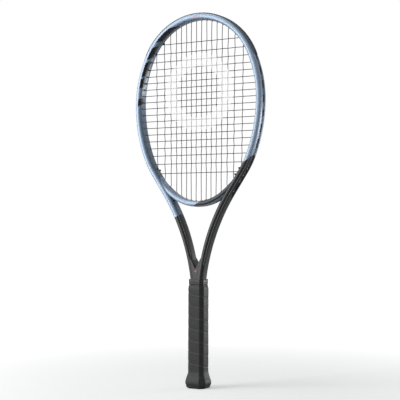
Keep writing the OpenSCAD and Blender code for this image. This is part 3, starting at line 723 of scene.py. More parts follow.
tie_holes = [main_tie, flipped(main_tie), cross_tie_left, cross_tie_right]
knots = make_piece("string_knots", joined([knot(h) for h in tie_holes]), "racket")

# %% [markdown]
# ## Eight-sided rings
# Everything on the handle is eight-sided with softened corners. Each ring is an eight-sided
# shape drawn a little small, with a short arc round each corner, so the flats stay flat and
# every ring has the same number of points. It also gives how far round each point lies, which
# the wrapped strap needs for its seam.

# %% Ring helper
GRIP_W, GRIP_D, GRIP_BEVEL, GRIP_T = 33.0, 30.0, 6.0, 1.8
CORNER_STEPS, FLAT_STEPS = 7, 9
CORNER_CUT = 0.586                # a corner's arc shortens its bevel by this share of its radius


def eight_sided(width, depth, bevel, radius):
    """Points, outward directions and share of the way round, from the front's middle."""
    w, d, c = width / 2 - radius, depth / 2 - radius, max(0.05, bevel - CORNER_CUT * radius)
    corners = [(w, c - d), (w, d - c), (w - c, d), (c - w, d), (-w, d - c), (-w, c - d),
               (c - w, -d), (w - c, -d)]
    points, ways = [], []
    for i, corner in enumerate(corners):
        for a in np.linspace(45 * (i - 1), 45 * i, CORNER_STEPS):
            way = np.array([math.cos(math.radians(a)), math.sin(math.radians(a))])
            points.append(np.array(corner) + radius * way)
            ways.append(way)
        start, reach = points[-1], np.array(corners[(i + 1) % 8]) - corner
        for t in np.linspace(0, 1, FLAT_STEPS + 2)[1:-1]:
            points.append(start + reach * t)
            ways.append(way)
    points, ways = np.array(points), np.array(ways)
    steps = np.linalg.norm(np.roll(points, -1, axis=0) - points, axis=1)
    walk = np.concatenate([[0], np.cumsum(steps)[:-1]]) / steps.sum()
    front = np.argmin(np.abs(points[:, 0]) + (points[:, 1] > 0) * 100)
    return points, ways, (walk - walk[front]) % 1


def grip_outline(grow, radius=2.2):
    return eight_sided(GRIP_W + 2 * grow, GRIP_D + 2 * grow, GRIP_BEVEL + CORNER_CUT * grow,
                       radius)


def grip_ring(z, grow, radius=2.2):
    """A level ring of the grip's outline, grown all round."""
    points = grip_outline(grow, radius)[0]
    return np.column_stack([points, np.full(len(points), z)])


# %% [markdown]
# ## The wrapped grip
# A grip is a soft strap wound up the handle like a bandage, from the butt to the collar. Its
# seam climbs round the handle in a helix. The sleeve is built as rings up the handle, and each
# point's height above the handle depends on how far it is above the seam: a narrow valley with
# a rolled lip below it and a shallow crown across the strap between. At the butt the strap
# follows the cap's flare.

# %% Grip
PITCH, SEAM_Z = 21.0, 191.4       # climb of each turn, and a seam's height at the front
RIM_TOP, FLARE, FLARE_H, WIDEST_Z = 4.15, 4.9, 32.5, 9.5
WRAP_TOP, NECK_LOW = HANDLE_L - 10.15, HANDLE_L - 18
NECK_GROW, END_ROLL = -1.35, 1.2
GRIP_ROUND = 112                  # millimetres of strap in one turn


def flare_at(z):
    """How far the butt end's flare stands out at height z."""
    t = min(1.0, max(0.0, (z - WIDEST_Z) / (FLARE_H - WIDEST_Z)))
    tuck = 1.6 * (max(0.0, WIDEST_Z - z) / (WIDEST_Z - 4)) ** 2
    return FLARE * (1 - t * t * (3 - 2 * t)) ** 1.15 - tuck


def strap_height(above):
    """How far the strap's face stands out, by its height above the seam below it."""
    valley = -0.55 * math.exp(-((min(above, PITCH - above) / 0.7) ** 2))
    lip = 0.22 * math.exp(-(((PITCH - above) - 1.7) / 1.1) ** 2)
    crown = 0.18 * math.sin(math.pi * above / PITCH)
    return valley + lip + crown - 0.2


grip_outer, round_grip, up_grip = [], [], []
grip_heights = np.arange(RIM_TOP, WRAP_TOP, 0.75)
for z in grip_heights:
    grow = flare_at(z)
    if z > NECK_LOW:
        grow = NECK_GROW * ((z - NECK_LOW) / (WRAP_TOP - NECK_LOW)) ** 1.4
    points, ways, walk = grip_outline(grow)
    end = min(1.0, (z - RIM_TOP) / END_ROLL, (WRAP_TOP - z) / END_ROLL)
    rise = [strap_height((z - SEAM_Z + PITCH * w) % PITCH) - 0.7 * (1 - end) ** 2 for w in walk]
    points = points + ways * np.array(rise)[:, None]
    grip_outer.append(np.column_stack([points, np.full(len(points), z)]))
    round_grip += [GRIP_ROUND * w for w in walk]
    up_grip += [z] * len(walk)
grip_inner = [grip_ring(z, flare_at(z) * 0.9 - GRIP_T + 0.1 if z < NECK_LOW
                        else NECK_GROW - 0.85 + (WRAP_TOP - z) * 0.09, 1.2)
              for z in grip_heights[::-6]]
inner_count = sum(len(r) for r in grip_inner)
grip = make_piece("wrapped_grip", loft(grip_outer + grip_inner, ring_is_loop=True), "racket",
                  ["grip_wrap"], crisp=50,
                  numbers={"round_grip": round_grip + [0.0] * inner_count,
                           "up_grip": up_grip + [0.0] * inner_count})

# %% [markdown]
# ## Butt cap, trap door, tape and collar
# The cap is one moulding: a skirt under the strap, a rolled rim below it, a flat bottom and a
# recess for the door. It is a single loft that goes down the outside and comes back up the
# inside. The door is a plate with a sunk panel and two snap legs, and it rides on its own
# body, because it pulls off. The collar rides on its own body too, because it rolls up.

# %% Butt cap
SKIRT_TOP, DOOR_W, DOOR_D, DOOR_T, GAP = 30.0, 23.0, 16.0, 2.0, 0.3
CAP_IN = -GRIP_T


def door_ring(z, inset, radius=0.8):
    """A level ring with the door's outline, drawn in by inset."""
    points, _, _ = eight_sided(DOOR_W - 2 * inset, DOOR_D - 2 * inset, 0.9, radius)
    return np.column_stack([points, np.full(len(points), z)])


cap_rings = [grip_ring(z, g, 1.2) for z, g in [(SKIRT_TOP, CAP_IN + 0.9), (4.0, 2.45)]]
rim_profile = [(4.0, 2.9), (3.95, 3.3), (3.6, 3.45), (2.9, 3.2), (2.1, 2.75), (1.4, 2.2),
               (0.8, 1.5), (0.35, 0.7), (0.08, -0.1), (0.0, -0.7)]
cap_rings += [grip_ring(z, g, 2.6) for z, g in rim_profile]
cap_rings += [grip_ring(0.0, -1.6, 2.2), grip_ring(0.35, -1.9, 2.2), grip_ring(0.35, -2.5, 2.2),
              grip_ring(0.0, -2.8, 2.2)]
cap_rings += [door_ring(z, inset) for z, inset in [(0.0, -0.75), (0.12, -0.45), (0.5, -GAP),
                                                  (DOOR_T + GAP, -GAP), (DOOR_T + GAP, 2.0),
                                                  (DOOR_T + 2, 2.0)]]
cap_rings += [grip_ring(z, g, 1.0) for z, g in [(DOOR_T + 2, -5.2), (8.7, -5.2), (8.7, CAP_IN),
                                               (SKIRT_TOP, CAP_IN)]]
cap = make_piece("flared_butt_cap", loft(cap_rings, ring_is_loop=True), "racket",
                 ["butt_cap"])

# %% Trap door
door_profile = [(DOOR_T, 0.25), (DOOR_T - 0.25, 0.0), (0.35, 0.0), (0.1, 0.1), (0.0, 0.4),
                (0.0, 2.1), (0.12, 2.35), (0.4, 2.5)]
leg_half, leg_x = (DOOR_D - 4 - 2 * GAP - 2) / 2, DOOR_W / 2 - 2 - GAP - 1.6


def snap_leg(side):
    """One leg, with a small hook near its top on the outer side."""
    outline = [(0, DOOR_T - 0.1), (0, DOOR_T + 5.8), (0.8, DOOR_T + 6.0), (1.45, DOOR_T + 5.2),
               (1.6, DOOR_T + 3.0), (1.6, DOOR_T - 0.1)]
    return loft([[[side * (leg_x + u), y, z] for u, z in outline]
                 for y in (-leg_half, 0.3 - leg_half, leg_half - 0.3, leg_half)])


door = make_piece("pull_off_door",
                  joined([loft([door_ring(z, i) for z, i in door_profile]), snap_leg(1),
                          snap_leg(-1)]),
                  "trap_door", ["trap_door"])

# %% Tape and collar
NECK_IN = -(GRIP_W - 2 * (shaft_x(HANDLE_L) + LEG_W / 2 + 0.35)) / 2
TAPE_LOW, TAPE_HIGH = HANDLE_L - 10, HANDLE_L - 1.5
tape_profile = [(TAPE_LOW, 0.1), (TAPE_LOW, 0.45), (TAPE_HIGH - 0.1, 0.45), (TAPE_HIGH, 0.38),
                (TAPE_HIGH, 0.1)]
tape = make_piece("finishing_tape_band",
                  loft([grip_ring(z, NECK_IN + g, 0.6) for z, g in tape_profile], True),
                  "racket", ["finishing_tape"])
COLLAR_LOW, COLLAR_IN, COLLAR_T = HANDLE_L - 9.7, NECK_IN + 0.75, 1.3
collar_profile = [(0.0, 0.15), (0.0, 1.0), (0.15, 1.2), (0.5, 1.3), (1.6, 1.3), (1.9, 1.18),
                  (2.2, 1.3), (7.4, 1.28), (7.7, 1.15), (8.0, 1.24), (8.9, 1.1), (9.4, 0.85),
                  (9.7, 0.45), (9.7, 0.1), (9.5, 0.0), (0.2, 0.0)]
collar = make_piece("rubber_collar_band",
                    loft([grip_ring(COLLAR_LOW + z, COLLAR_IN + g * COLLAR_T / 1.3, 1.6)
                          for z, g in collar_profile], True),
                    "collar", ["rubber_collar"])

# %% [markdown]
# # Finishes
# Every finish is made of shader nodes, so nothing is read from a picture. Two small helpers
# add a node and join it up; the effects that more than one finish uses are node groups, built
# once and placed with different numbers.

# %% Node helpers
def fill_in(tree, made, inputs):
    """Gives a node's inputs their numbers, colours or other nodes' outputs."""
    for key, value in inputs.items():
        if isinstance(value, bpy.types.NodeSocket):
            tree.links.new(value, made.inputs[key])
        else:
            made.inputs[key].default_value = value
    return made


def node(tree, kind, inputs=None, **settings):
    """Adds a shader node, with its settings and its inputs."""
    made = tree.nodes.new("ShaderNode" + kind)
    for key, value in settings.items():
        setattr(made, key, value)
    return fill_in(tree, made, inputs or {})


def calc(tree, operation, a, b=0.0, c=0.0):
    """The output of one Math node."""
    return node(tree, "Math", {0: a, 1: b, 2: c}, operation=operation).outputs[0]


def product(tree, *values):
    made = values[0]
    for value in values[1:]:
        made = calc(tree, "MULTIPLY", made, value)
    return made


def span(tree, across, up):
    """How far off a place is that lies this far across and this far up."""
    return calc(tree, "SQRT", calc(tree, "MULTIPLY_ADD", across, across,
                                   calc(tree, "MULTIPLY", up, up)))


def blended(tree, share, first, second):
    """A colour that goes from first to second as share goes from 0 to 1."""
    return node(tree, "Mix", {"Factor": share, "A": first, "B": second},
                data_type="RGBA").outputs["Result"]


def shaded(tree, colour, value, low, high):
    """A colour made darker or lighter, from low times to high times, by a value from 0 to 1."""
    shade = node(tree, "MapRange", {"Value": value, "To Min": low, "To Max": high})
    return node(tree, "VectorMath", {0: colour, "Scale": shade.outputs[0]},
                operation="SCALE").outputs[0]


def relief(tree, shader, height, strength, distance):
    bump = node(tree, "Bump", {"Height": height, "Strength": strength, "Distance": distance})
    fill_in(tree, shader, {"Normal": bump.outputs[0]})


def new_material(name):
    """A material, its node tree and its shader."""
    material = bpy.data.materials.new(name)
    material.use_nodes = True
    return material, material.node_tree, material.node_tree.nodes["Principled BSDF"]


def coat(material, *pieces):
    for piece in pieces:
        piece.data.materials.append(material)


def effect(name, inputs, outputs):
    """A new shader node group: inputs are {name: default number}, outputs are names."""
    tree = bpy.data.node_groups.new(name, "ShaderNodeTree")
    for key, value in inputs.items():
        socket = tree.interface.new_socket(key, in_out="INPUT", socket_type="NodeSocketFloat")
        socket.default_value = value
    for key in outputs:
        tree.interface.new_socket(key, in_out="OUTPUT", socket_type="NodeSocketFloat")
    return tree, tree.nodes.new("NodeGroupInput"), tree.nodes.new("NodeGroupOutput")


def use(tree, group, **numbers):
    """Places an effect in a material with its own numbers."""
    made = tree.nodes.new("ShaderNodeGroup")
    made.node_tree = group
    for key, value in numbers.items():
        made.inputs[key.replace("_", " ")].default_value = value
    return made


# %% [markdown]
# ## Moulded grain
# Moulded nylon, rubber and foam all have a fine uneven skin. Two sizes of noise give its
# height, and the larger one also shades it a little, as a real moulding is never quite even.

# %% Moulded grain group
grain_group, g_in, g_out = effect("moulded_grain", {"Grain Size": 0.6, "Patch Size": 12.0},
                                  ["Height", "Patches"])
place = node(grain_group, "TexCoord").outputs["Object"]
fine_scale = calc(grain_group, "DIVIDE", 1000.0, g_in.outputs["Grain Size"])
patch_scale = calc(grain_group, "DIVIDE", 1000.0, g_in.outputs["Patch Size"])
fine = node(grain_group, "TexNoise", {"Vector": place, "Scale": fine_scale, "Detail": 3.0})
patches = node(grain_group, "TexNoise", {"Vector": place, "Scale": patch_scale, "Detail": 2.0})
fill_in(grain_group, g_out, {"Height": fine.outputs[0], "Patches": patches.outputs[0]})

# %% [markdown]
# ## Scuffs
# Anything that touches the court or a hand gets fine scratches. They are noise pulled out long
# in one direction and cut off high, so that only its thin ridges show.

# %% Scuff group
scuff_group, s_in, s_out = effect("fine_scuffs", {"Amount": 0.5}, ["Mask"])
place = node(scuff_group, "TexCoord").outputs["Object"]
stretch = node(scuff_group, "Mapping", {"Vector": place, "Rotation": (0.4, 0.7, 0.3),
                                        "Scale": (2400.0, 2400.0, 170.0)})
scratch = node(scuff_group, "TexNoise", {"Vector": stretch.outputs[0], "Scale": 0.5,
                                         "Detail": 2.0})
broad = node(scuff_group, "TexNoise", {"Vector": place, "Scale": 70.0})
thin = node(scuff_group, "MapRange", {"Value": scratch.outputs[0], "From Min": 0.63,
                                      "From Max": 0.72})
often = node(scuff_group, "MapRange", {"Value": broad.outputs[0], "From Min": 0.45,
                                       "From Max": 0.7})
fill_in(scuff_group, s_out, {
    "Mask": product(scuff_group, thin.outputs[0], often.outputs[0], s_in.outputs["Amount"])})

# %% [markdown]
# ## Lacquer flake
# Racket paint is a metallic base under clear lacquer. Under a lamp it sparkles finely, because
# each flake lies at its own angle. Tiny cells with a random shade each stand for the flakes,
# and a slow noise stands for the slight orange peel of the lacquer.

# %% Flake group
flake_group, f_in, f_out = effect("lacquer_flake", {"Flake Size": 0.35}, ["Shade", "Peel"])
place = node(flake_group, "TexCoord").outputs["Object"]
cell_scale = calc(flake_group, "DIVIDE", 1000.0, f_in.outputs["Flake Size"])
cells = node(flake_group, "TexVoronoi", {"Vector": place, "Scale": cell_scale})
cell_shade = node(flake_group, "SeparateColor", {"Color": cells.outputs["Color"]})
peel = node(flake_group, "TexNoise", {"Vector": place, "Scale": 420.0, "Detail": 1.0})
fill_in(flake_group, f_out, {"Shade": cell_shade.outputs[0], "Peel": peel.outputs[0]})

# %% [markdown]
# ## Where the paint changes
# The racket is pale metallic blue with black lower shafts. The scheme is the same from the
# front and from behind if the racket is turned round, so both the side and the turn round the
# section are folded: from behind, left and right change places. The turn is kept on the
# vertices: 180 is the inner wall, 270 the face and 360 the outer wall.

# %% Folded place group
fold_group, _, fold_out = effect("folded_place", {}, ["Side", "Round", "Up"])
place = node(fold_group, "SeparateXYZ", {0: node(fold_group, "TexCoord").outputs["Object"]})
behind = calc(fold_group, "GREATER_THAN", place.outputs["Y"], 0.0)
turn_sign = calc(fold_group, "MULTIPLY_ADD", behind, -2.0, 1.0)
section_turn = node(fold_group, "Attribute", attribute_name="round_section").outputs["Fac"]
from_inner = calc(fold_group, "ABSOLUTE", calc(fold_group, "SUBTRACT", section_turn, 180.0))
fill_in(fold_group, fold_out, {
    "Side": calc(fold_group, "MULTIPLY", place.outputs["X"], turn_sign),
    "Round": calc(fold_group, "ADD", from_inner, 180.0), "Up": place.outputs["Z"]})


def folded(tree):
    """Side, turn round the section and height, with the back folded onto the front."""
    fold = use(tree, fold_group)
    return [fold.outputs[key] for key in ("Side", "Round", "Up")]


def between(tree, value, low, high):
    """1 where value lies between low and high."""
    return calc(tree, "MULTIPLY", calc(tree, "GREATER_THAN", value, low),
                calc(tree, "LESS_THAN", value, high))


def either(tree, *masks):
    made = masks[0]
    for mask in masks[1:]:
        made = calc(tree, "MAXIMUM", made, mask)
    return made


# %% [markdown]
# ## The frame's paint
# The tube and the crotch share one lacquer. A paint shop would mask them with tape, and here the
# masks are worked out from the folded place: where black starts on each wall, a thin grey painted
# highlight down each edge of the black face, where a rounded edge catches the light, and a row of
# plain black bars with slanted ends on the upper head.

# %% Frame paint
# PAINTED_SHADE_BLUE is painted shade: the same blue darkened on the inner wall, which the lights
# leave in shade.
BLUE, PAINTED_SHADE_BLUE = (0.42, 0.54, 0.70, 1.0), (0.17, 0.24, 0.33, 1.0)
# PAINTED_HIGHLIGHT_GREY is a painted highlight colour: the pale line that a rounded edge of the
# black catches from the front light.
PAINT_BLACK, PAINTED_HIGHLIGHT_GREY = (0.006, 0.006, 0.008, 1.0), (0.36, 0.37, 0.39, 1.0)
PINK = (0.72, 0.16, 0.20, 1.0)
INNER_END, OUTER_FROM = 222.0, 320.0   # the turns at which the face meets the two walls
FACE_MIDDLE, FACE_HALF = 272.0, 48.0
SHADE_FROM, SHADE_TO = 250.0, 215.0    # the blue darkens between these, towards the inside
FACE_BLACK_Z, FACE_SLANT = 0.412, 0.006
WALL_BLACK_Z, WALL_SLANT = 0.3125, -0.0025
INNER_LINE, OUTER_LINE, LINES_FROM_Z = (223.0, 233.0), (305.0, 314.0), 0.225
BARS = [(0.5215, 0.5345), (0.5545, 0.5725), (0.5755, 0.6015), (0.6075, 0.6290),
        (0.6375, 0.6625)]
BAR_TURNS, BAR_SLANT, BAR_SHIFT = (181.0, 262.0), 0.00006, -0.0138
DOT_Z, DOT_R = 0.2135, 0.0017
DASH_Z, DASH_HALF, DASH_THICK = 0.6775, 0.006, 0.0006
MARK_TURNS = (250.0, 290.0)
METAL, METAL_DROP = 0.22, 0.2
LACQUER_ROUGH, SCUFF_ROUGH = 0.4, 0.3


def lacquer(name):
    """A new lacquered material: its tree, shader, and the flake effect already in place."""
    material, tree, shader = new_material(name)
    flake = use(tree, flake_group, Flake_Size=0.4)
    fill_in(tree, shader, {"Coat Weight": 0.35, "Coat Roughness": 0.14,
                           "Specular IOR Level": 0.35})
    relief(tree, shader, flake.outputs["Peel"], 0.03, 0.0004)
    return material, tree, shader, flake


def flaked(tree, colour, flake):
    """Colour with each flake a little lighter or darker."""
    return shaded(tree, colour, flake.outputs["Shade"], 0.93, 1.06)


def painted(tree, shader, colour, black, roughness):
    """Joins the colour to the shader. Black paint has hardly any metal in it."""
    metal = calc(tree, "SUBTRACT", METAL, calc(tree, "MULTIPLY", black, METAL_DROP))
    fill_in(tree, shader, {"Base Color": colour, "Metallic": metal, "Roughness": roughness})


frame_paint, tree, shader, flake = lacquer("frame_paint")
side, around, up = folded(tree)
right = calc(tree, "GREATER_THAN", side, 0.0)
left = calc(tree, "LESS_THAN", side, 0.0)
outer = calc(tree, "GREATER_THAN", around, OUTER_FROM)
inner = calc(tree, "LESS_THAN", around, INNER_END)
across_face = calc(tree, "MULTIPLY_ADD", around, 1 / FACE_HALF, -FACE_MIDDLE / FACE_HALF)
right_edge = calc(tree, "MULTIPLY_ADD", across_face, FACE_SLANT, FACE_BLACK_Z)
left_edge = calc(tree, "MULTIPLY_ADD", across_face, WALL_SLANT, WALL_BLACK_Z)
follows_right = either(tree, outer, calc(tree, "MULTIPLY", right,
                                         calc(tree, "SUBTRACT", 1.0, inner)))
edge_gap = calc(tree, "SUBTRACT", right_edge, left_edge)
black_edge = calc(tree, "MULTIPLY_ADD", follows_right, edge_gap, left_edge)
black = calc(tree, "LESS_THAN", up, black_edge)
# The lines are painted highlights in grey along the edges of the black face.
lines = either(tree, between(tree, around, *INNER_LINE), between(tree, around, *OUTER_LINE))
painted_highlight = product(tree, black, lines, calc(tree, "GREATER_THAN", up, LINES_FROM_Z))
slant = calc(tree, "ADD", calc(tree, "MULTIPLY_ADD", around, BAR_SLANT, up), BAR_SHIFT)
bars = either(tree, *[between(tree, slant, low, high) for low, high in BARS])
bars = product(tree, bars, between(tree, around, *BAR_TURNS), left)
black = either(tree, black, bars)

# %% [markdown]
# ## The frame's colours
# The coats go on in order: blue with painted shade towards the inner wall, black, painted
# highlight lines in grey, and last two small pink marks on the middle line, a dot on the crotch
# and a dash at the tip. Black has almost no metal in it, and a few scuffs dull the shine.

# %% Colours and marks of the frame
# Painted shade: the blue darkens towards the inner wall, as if that wall lay in shade.
painted_inner_shade = node(tree, "MapRange", {"Value": around, "From Min": SHADE_FROM,
                                      "From Max": SHADE_TO})
colour = flaked(tree, blended(tree, painted_inner_shade.outputs[0], BLUE, PAINTED_SHADE_BLUE), flake)
colour = blended(tree, black, colour, PAINT_BLACK)
# Painted highlight lines in grey over the black.
colour = blended(tree, painted_highlight, colour, PAINTED_HIGHLIGHT_GREY)
to_dot = span(tree, side, calc(tree, "SUBTRACT", up, DOT_Z))
above_dash = calc(tree, "ABSOLUTE", calc(tree, "SUBTRACT", up, DASH_Z))
dash = calc(tree, "MULTIPLY", between(tree, side, -DASH_HALF, DASH_HALF),
            calc(tree, "LESS_THAN", above_dash, DASH_THICK))
marks = either(tree, calc(tree, "LESS_THAN", to_dot, DOT_R), dash)
marks = calc(tree, "MULTIPLY", marks, between(tree, around, *MARK_TURNS))
colour = blended(tree, marks, colour, PINK)
scuffs = use(tree, scuff_group, Amount=0.25)
painted(tree, shader, colour, black,
        calc(tree, "MULTIPLY_ADD", scuffs.outputs["Mask"], SCUFF_ROUGH, LACQUER_ROUGH))
coat(frame_paint, tube, web)

# %% [markdown]
# ## The bridge's paint
# The bridge changes from blue to black in the middle, on a slant, with a grey painted highlight
# along the black half's upper edge. Its underside is a paler grey-blue band that both halves
# share:
# painted light, standing for the white floor lighting it from below.

# %% Bridge paint
# PAINTED_FLOOR_LIGHT_GREY is painted light: the pale grey-blue that the white floor lights the
# underside with.
UNDER_FROM, PAINTED_FLOOR_LIGHT_GREY = 300.0, (0.30, 0.36, 0.41, 1.0)
MEET_Z, MEET_SLANT, BRIDGE_LINE = 0.336, 1.9, (229.0, 236.0)
bridge_paint, tree, shader, flake = lacquer("bridge_paint")
side, around, up = folded(tree)
slanted = calc(tree, "MULTIPLY_ADD", up, MEET_SLANT, -MEET_SLANT * MEET_Z)
# The underside band is kept out of the black, so the painted floor light covers both halves.
under = calc(tree, "GREATER_THAN", around, UNDER_FROM)
black = calc(tree, "MULTIPLY", calc(tree, "GREATER_THAN", side, slanted),
             calc(tree, "SUBTRACT", 1.0, under))
# A painted highlight in grey along the black half's upper edge, where the top of the tube catches
# the light.
painted_highlight = calc(tree, "MULTIPLY", black, between(tree, around, *BRIDGE_LINE))
colour = flaked(tree, blended(tree, under, BLUE, PAINTED_FLOOR_LIGHT_GREY), flake)
colour = blended(tree, black, colour, PAINT_BLACK)
colour = blended(tree, painted_highlight, colour, PAINTED_HIGHLIGHT_GREY)
painted(tree, shader, colour, black, LACQUER_ROUGH)
coat(bridge_paint, bridge)

# %% [markdown]
# ## Moulded parts
# The guard, grommets, cap, door, collar, tape and the foams inside are all moulded or cut
# plastics. They share one recipe with the grain and scuff effects, and differ in colour, shine
# and the size of their grain.

# %% Moulded finishes
def moulded(name, colour, roughness, grain, bump=0.25, scuff=0.3, patch=0.12):
    """A moulded material. patch says how much lighter or darker its patches are."""
    material, tree, shader = new_material(name)
    skin = use(tree, grain_group, Grain_Size=grain, Patch_Size=18.0)
    marks = use(tree, scuff_group, Amount=scuff)
    lighter = [min(1.0, c * 1.9 + 0.05) for c in colour] + [1.0]
    base = shaded(tree, colour, skin.outputs["Patches"], 1 - patch, 1 + patch)
    rough = calc(tree, "MULTIPLY_ADD", skin.outputs["Patches"], 0.2, roughness - 0.1)
    worn = calc(tree, "MULTIPLY", marks.outputs["Mask"], 0.2)
    fill_in(tree, shader, {"Base Color": blended(tree, marks.outputs["Mask"], base, lighter),
                           "Roughness": calc(tree, "ADD", rough, worn)})
    relief(tree, shader, skin.outputs["Height"], bump, 0.0002)
    return material


coat(moulded("guard_nylon", (0.13, 0.16, 0.205), 0.42, 0.5, scuff=0.2), guard)
coat(moulded("strip_nylon", (0.17, 0.21, 0.265), 0.4, 0.4, scuff=0.1), *grommet_pieces)
# The barrels are moulded with their dark strips and guard, but get a light grey: a painted
# highlight standing for the glints on their rounded tips.
coat(moulded("barrel_nylon_painted_highlight", (0.55, 0.57, 0.60), 0.35, 0.4, scuff=0.05), *grommet_pieces, guard,
     singles)
coat(moulded("cap_plastic", (0.012, 0.012, 0.013), 0.38, 0.35, bump=0.2), cap)
coat(moulded("door_plastic", (0.02, 0.02, 0.022), 0.45, 0.35), door)
coat(moulded("collar_rubber", (0.026, 0.026, 0.027), 0.42, 0.5), collar)
coat(moulded("tape_film", (0.014, 0.014, 0.014), 0.4, 1.2, bump=0.15), tape)
foam = moulded("core_foam", (0.62, 0.55, 0.38), 0.85, 0.8, bump=0.8, scuff=0.0)
pallet_foam = moulded("pallet_foam", (0.05, 0.05, 0.05), 0.8, 0.6, bump=0.7, scuff=0.0)
steel = moulded("bright_steel", (0.55, 0.55, 0.56), 0.25, 0.3, bump=0.05)
steel.node_tree.nodes["Principled BSDF"].inputs["Metallic"].default_value = 1.0
hidden = {"bridge_core": foam, "shaft_plugs": foam, "pallet_front": pallet_foam,
          "pallet_back": pallet_foam, "butt_staples": steel, "grip_tack": steel}
for name, material in hidden.items():
    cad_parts[name].data.materials.clear()
    coat(material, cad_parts[name])

# %% [markdown]
# ## String
# The string is black polyester with a faint twist under a shiny skin. A white ring is stencilled
# on the bed, which is painted over the strings after stringing: so the paint follows a round
# shape across all of them, a little uneven at its edge, and worn off in small random patches.

# %% String finish
RING_Z, RING_IN, RING_OUT = 0.541, 0.047, 0.071
RAGGED, WHITE = 0.003, (0.86, 0.86, 0.85, 1.0)
string_paint, tree, shader = new_material("string_polyester")
place = node(tree, "TexCoord").outputs["Object"]
spot = node(tree, "SeparateXYZ", {0: place})
reach = span(tree, spot.outputs["X"], calc(tree, "SUBTRACT", spot.outputs["Z"], RING_Z))
ragged = node(tree, "TexNoise", {"Vector": place, "Scale": 300.0, "Detail": 2.0})
reach = calc(tree, "ADD", reach,
             calc(tree, "MULTIPLY_ADD", ragged.outputs[0], RAGGED, -RAGGED / 2))
wear = node(tree, "TexNoise", {"Vector": place, "Scale": 900.0})
kept = node(tree, "MapRange", {"Value": wear.outputs[0], "From Min": 0.28, "From Max": 0.42})
stencil = calc(tree, "MULTIPLY", between(tree, reach, RING_IN, RING_OUT), kept.outputs[0])
twist = node(tree, "TexWave", {"Vector": place, "Scale": 420.0, "Distortion": 1.5},
             bands_direction="DIAGONAL")
thread = blended(tree, calc(tree, "MULTIPLY", twist.outputs[1], 0.5), (0.013, 0.013, 0.014, 1.0),
                 (0.035, 0.034, 0.034, 1.0))
fill_in(tree, shader, {"Base Color": blended(tree, stencil, thread, WHITE),
                       "Roughness": calc(tree, "MULTIPLY_ADD", stencil, 0.3, 0.36)})
relief(tree, shader, twist.outputs[1], 0.2, 0.0001)
coat(string_paint, main_piece, cross_piece, knots)

# %% [markdown]
# ## The grip's leather-like skin
# The strap is polyurethane with a felt back. Its face is dark grey and slightly tacky, with a
# leather grain and rows of small pricked holes that let sweat through. The rows follow the
# strap, so they use the two numbers kept on its vertices.

# %% Grip finish
HOLE_PITCH, HOLE_SIZE = 3.0, 0.42
# SEAM_HIGHLIGHT_GREY is a painted highlight: a lighter line along the seam, where the strap's
# rolled edge catches the light.
SEAM_HIGHLIGHT_GREY, HOLE_SHADE_BLACK = (0.12, 0.12, 0.122, 1.0), (0.008, 0.008, 0.008, 1.0)
SEAM_FROM, SEAM_FULL = PITCH / 2 - 1.9, PITCH / 2 - 1.2
grip_skin, tree, shader = new_material("grip_strap")
place = node(tree, "TexCoord").outputs["Object"]
walk = node(tree, "Attribute", attribute_name="round_grip").outputs["Fac"]
climb = node(tree, "Attribute", attribute_name="up_grip").outputs["Fac"]
lay = calc(tree, "MULTIPLY_ADD", walk, PITCH / GRIP_ROUND, climb)


def off_centre(value, shift=0.0):
    """Distance from the middle of each step of the hole pitch, in millimetres."""
    step = calc(tree, "FRACT", calc(tree, "MULTIPLY_ADD", value, 1 / HOLE_PITCH, shift))
    return calc(tree, "MULTIPLY", calc(tree, "ABSOLUTE", calc(tree, "SUBTRACT", step, 0.5)),
                HOLE_PITCH)


# The pricked holes are darkened to near black: painted shade inside each hole.
pricked = node(tree, "MapRange", {"Value": span(tree, off_centre(walk), off_centre(lay)),
                                  "From Min": HOLE_SIZE, "From Max": HOLE_SIZE * 0.55})
leather = node(tree, "TexVoronoi", {"Vector": place, "Scale": 900.0}, feature="DISTANCE_TO_EDGE")
creases = node(tree, "MapRange", {"Value": leather.outputs[0], "From Max": 0.25})
skin = use(tree, grain_group, Grain_Size=0.5, Patch_Size=22.0)
colour = shaded(tree, (0.034, 0.034, 0.035), skin.outputs["Patches"], 0.8, 1.25)
from_seam = calc(tree, "MODULO", calc(tree, "ADD", lay, 10 * PITCH - SEAM_Z), PITCH)
from_crown = calc(tree, "ABSOLUTE", calc(tree, "SUBTRACT", from_seam, PITCH / 2))
seam = node(tree, "MapRange", {"Value": from_crown, "From Min": SEAM_FROM,
                               "From Max": SEAM_FULL})
# Painted highlight along the seam, lightening the strap's edge.
colour = blended(tree, calc(tree, "MULTIPLY", seam.outputs[0], 0.25), colour, SEAM_HIGHLIGHT_GREY)
# Painted shade in the pricked holes.
colour = blended(tree, calc(tree, "MULTIPLY", pricked.outputs[0], 0.7), colour, HOLE_SHADE_BLACK)
fill_in(tree, shader, {
    "Base Color": colour, "Specular IOR Level": 0.35,
    "Roughness": calc(tree, "MULTIPLY_ADD", skin.outputs["Patches"], 0.2, 0.36)})
height = calc(tree, "MULTIPLY_ADD", creases.outputs[0], 0.35,
              calc(tree, "MULTIPLY", pricked.outputs[0], -1.0))
relief(tree, shader, height, 0.45, 0.0002)
coat(grip_skin, grip)

# %% [markdown]
# # Studio
# The racket stands on its butt on a pale floor, which is clear when it is seen from below. A
# tall soft light at the front left makes the face of the tube pale, another behind on the right
# lights its outer wall, and between them the corner that looks at the camera stays dark, which
# shows the shape of a dark grip. The world is plain white to the eye. It gives a weak, even
# fill, and mirrored rays see it brighter, so that the glossy paint has something to reflect.

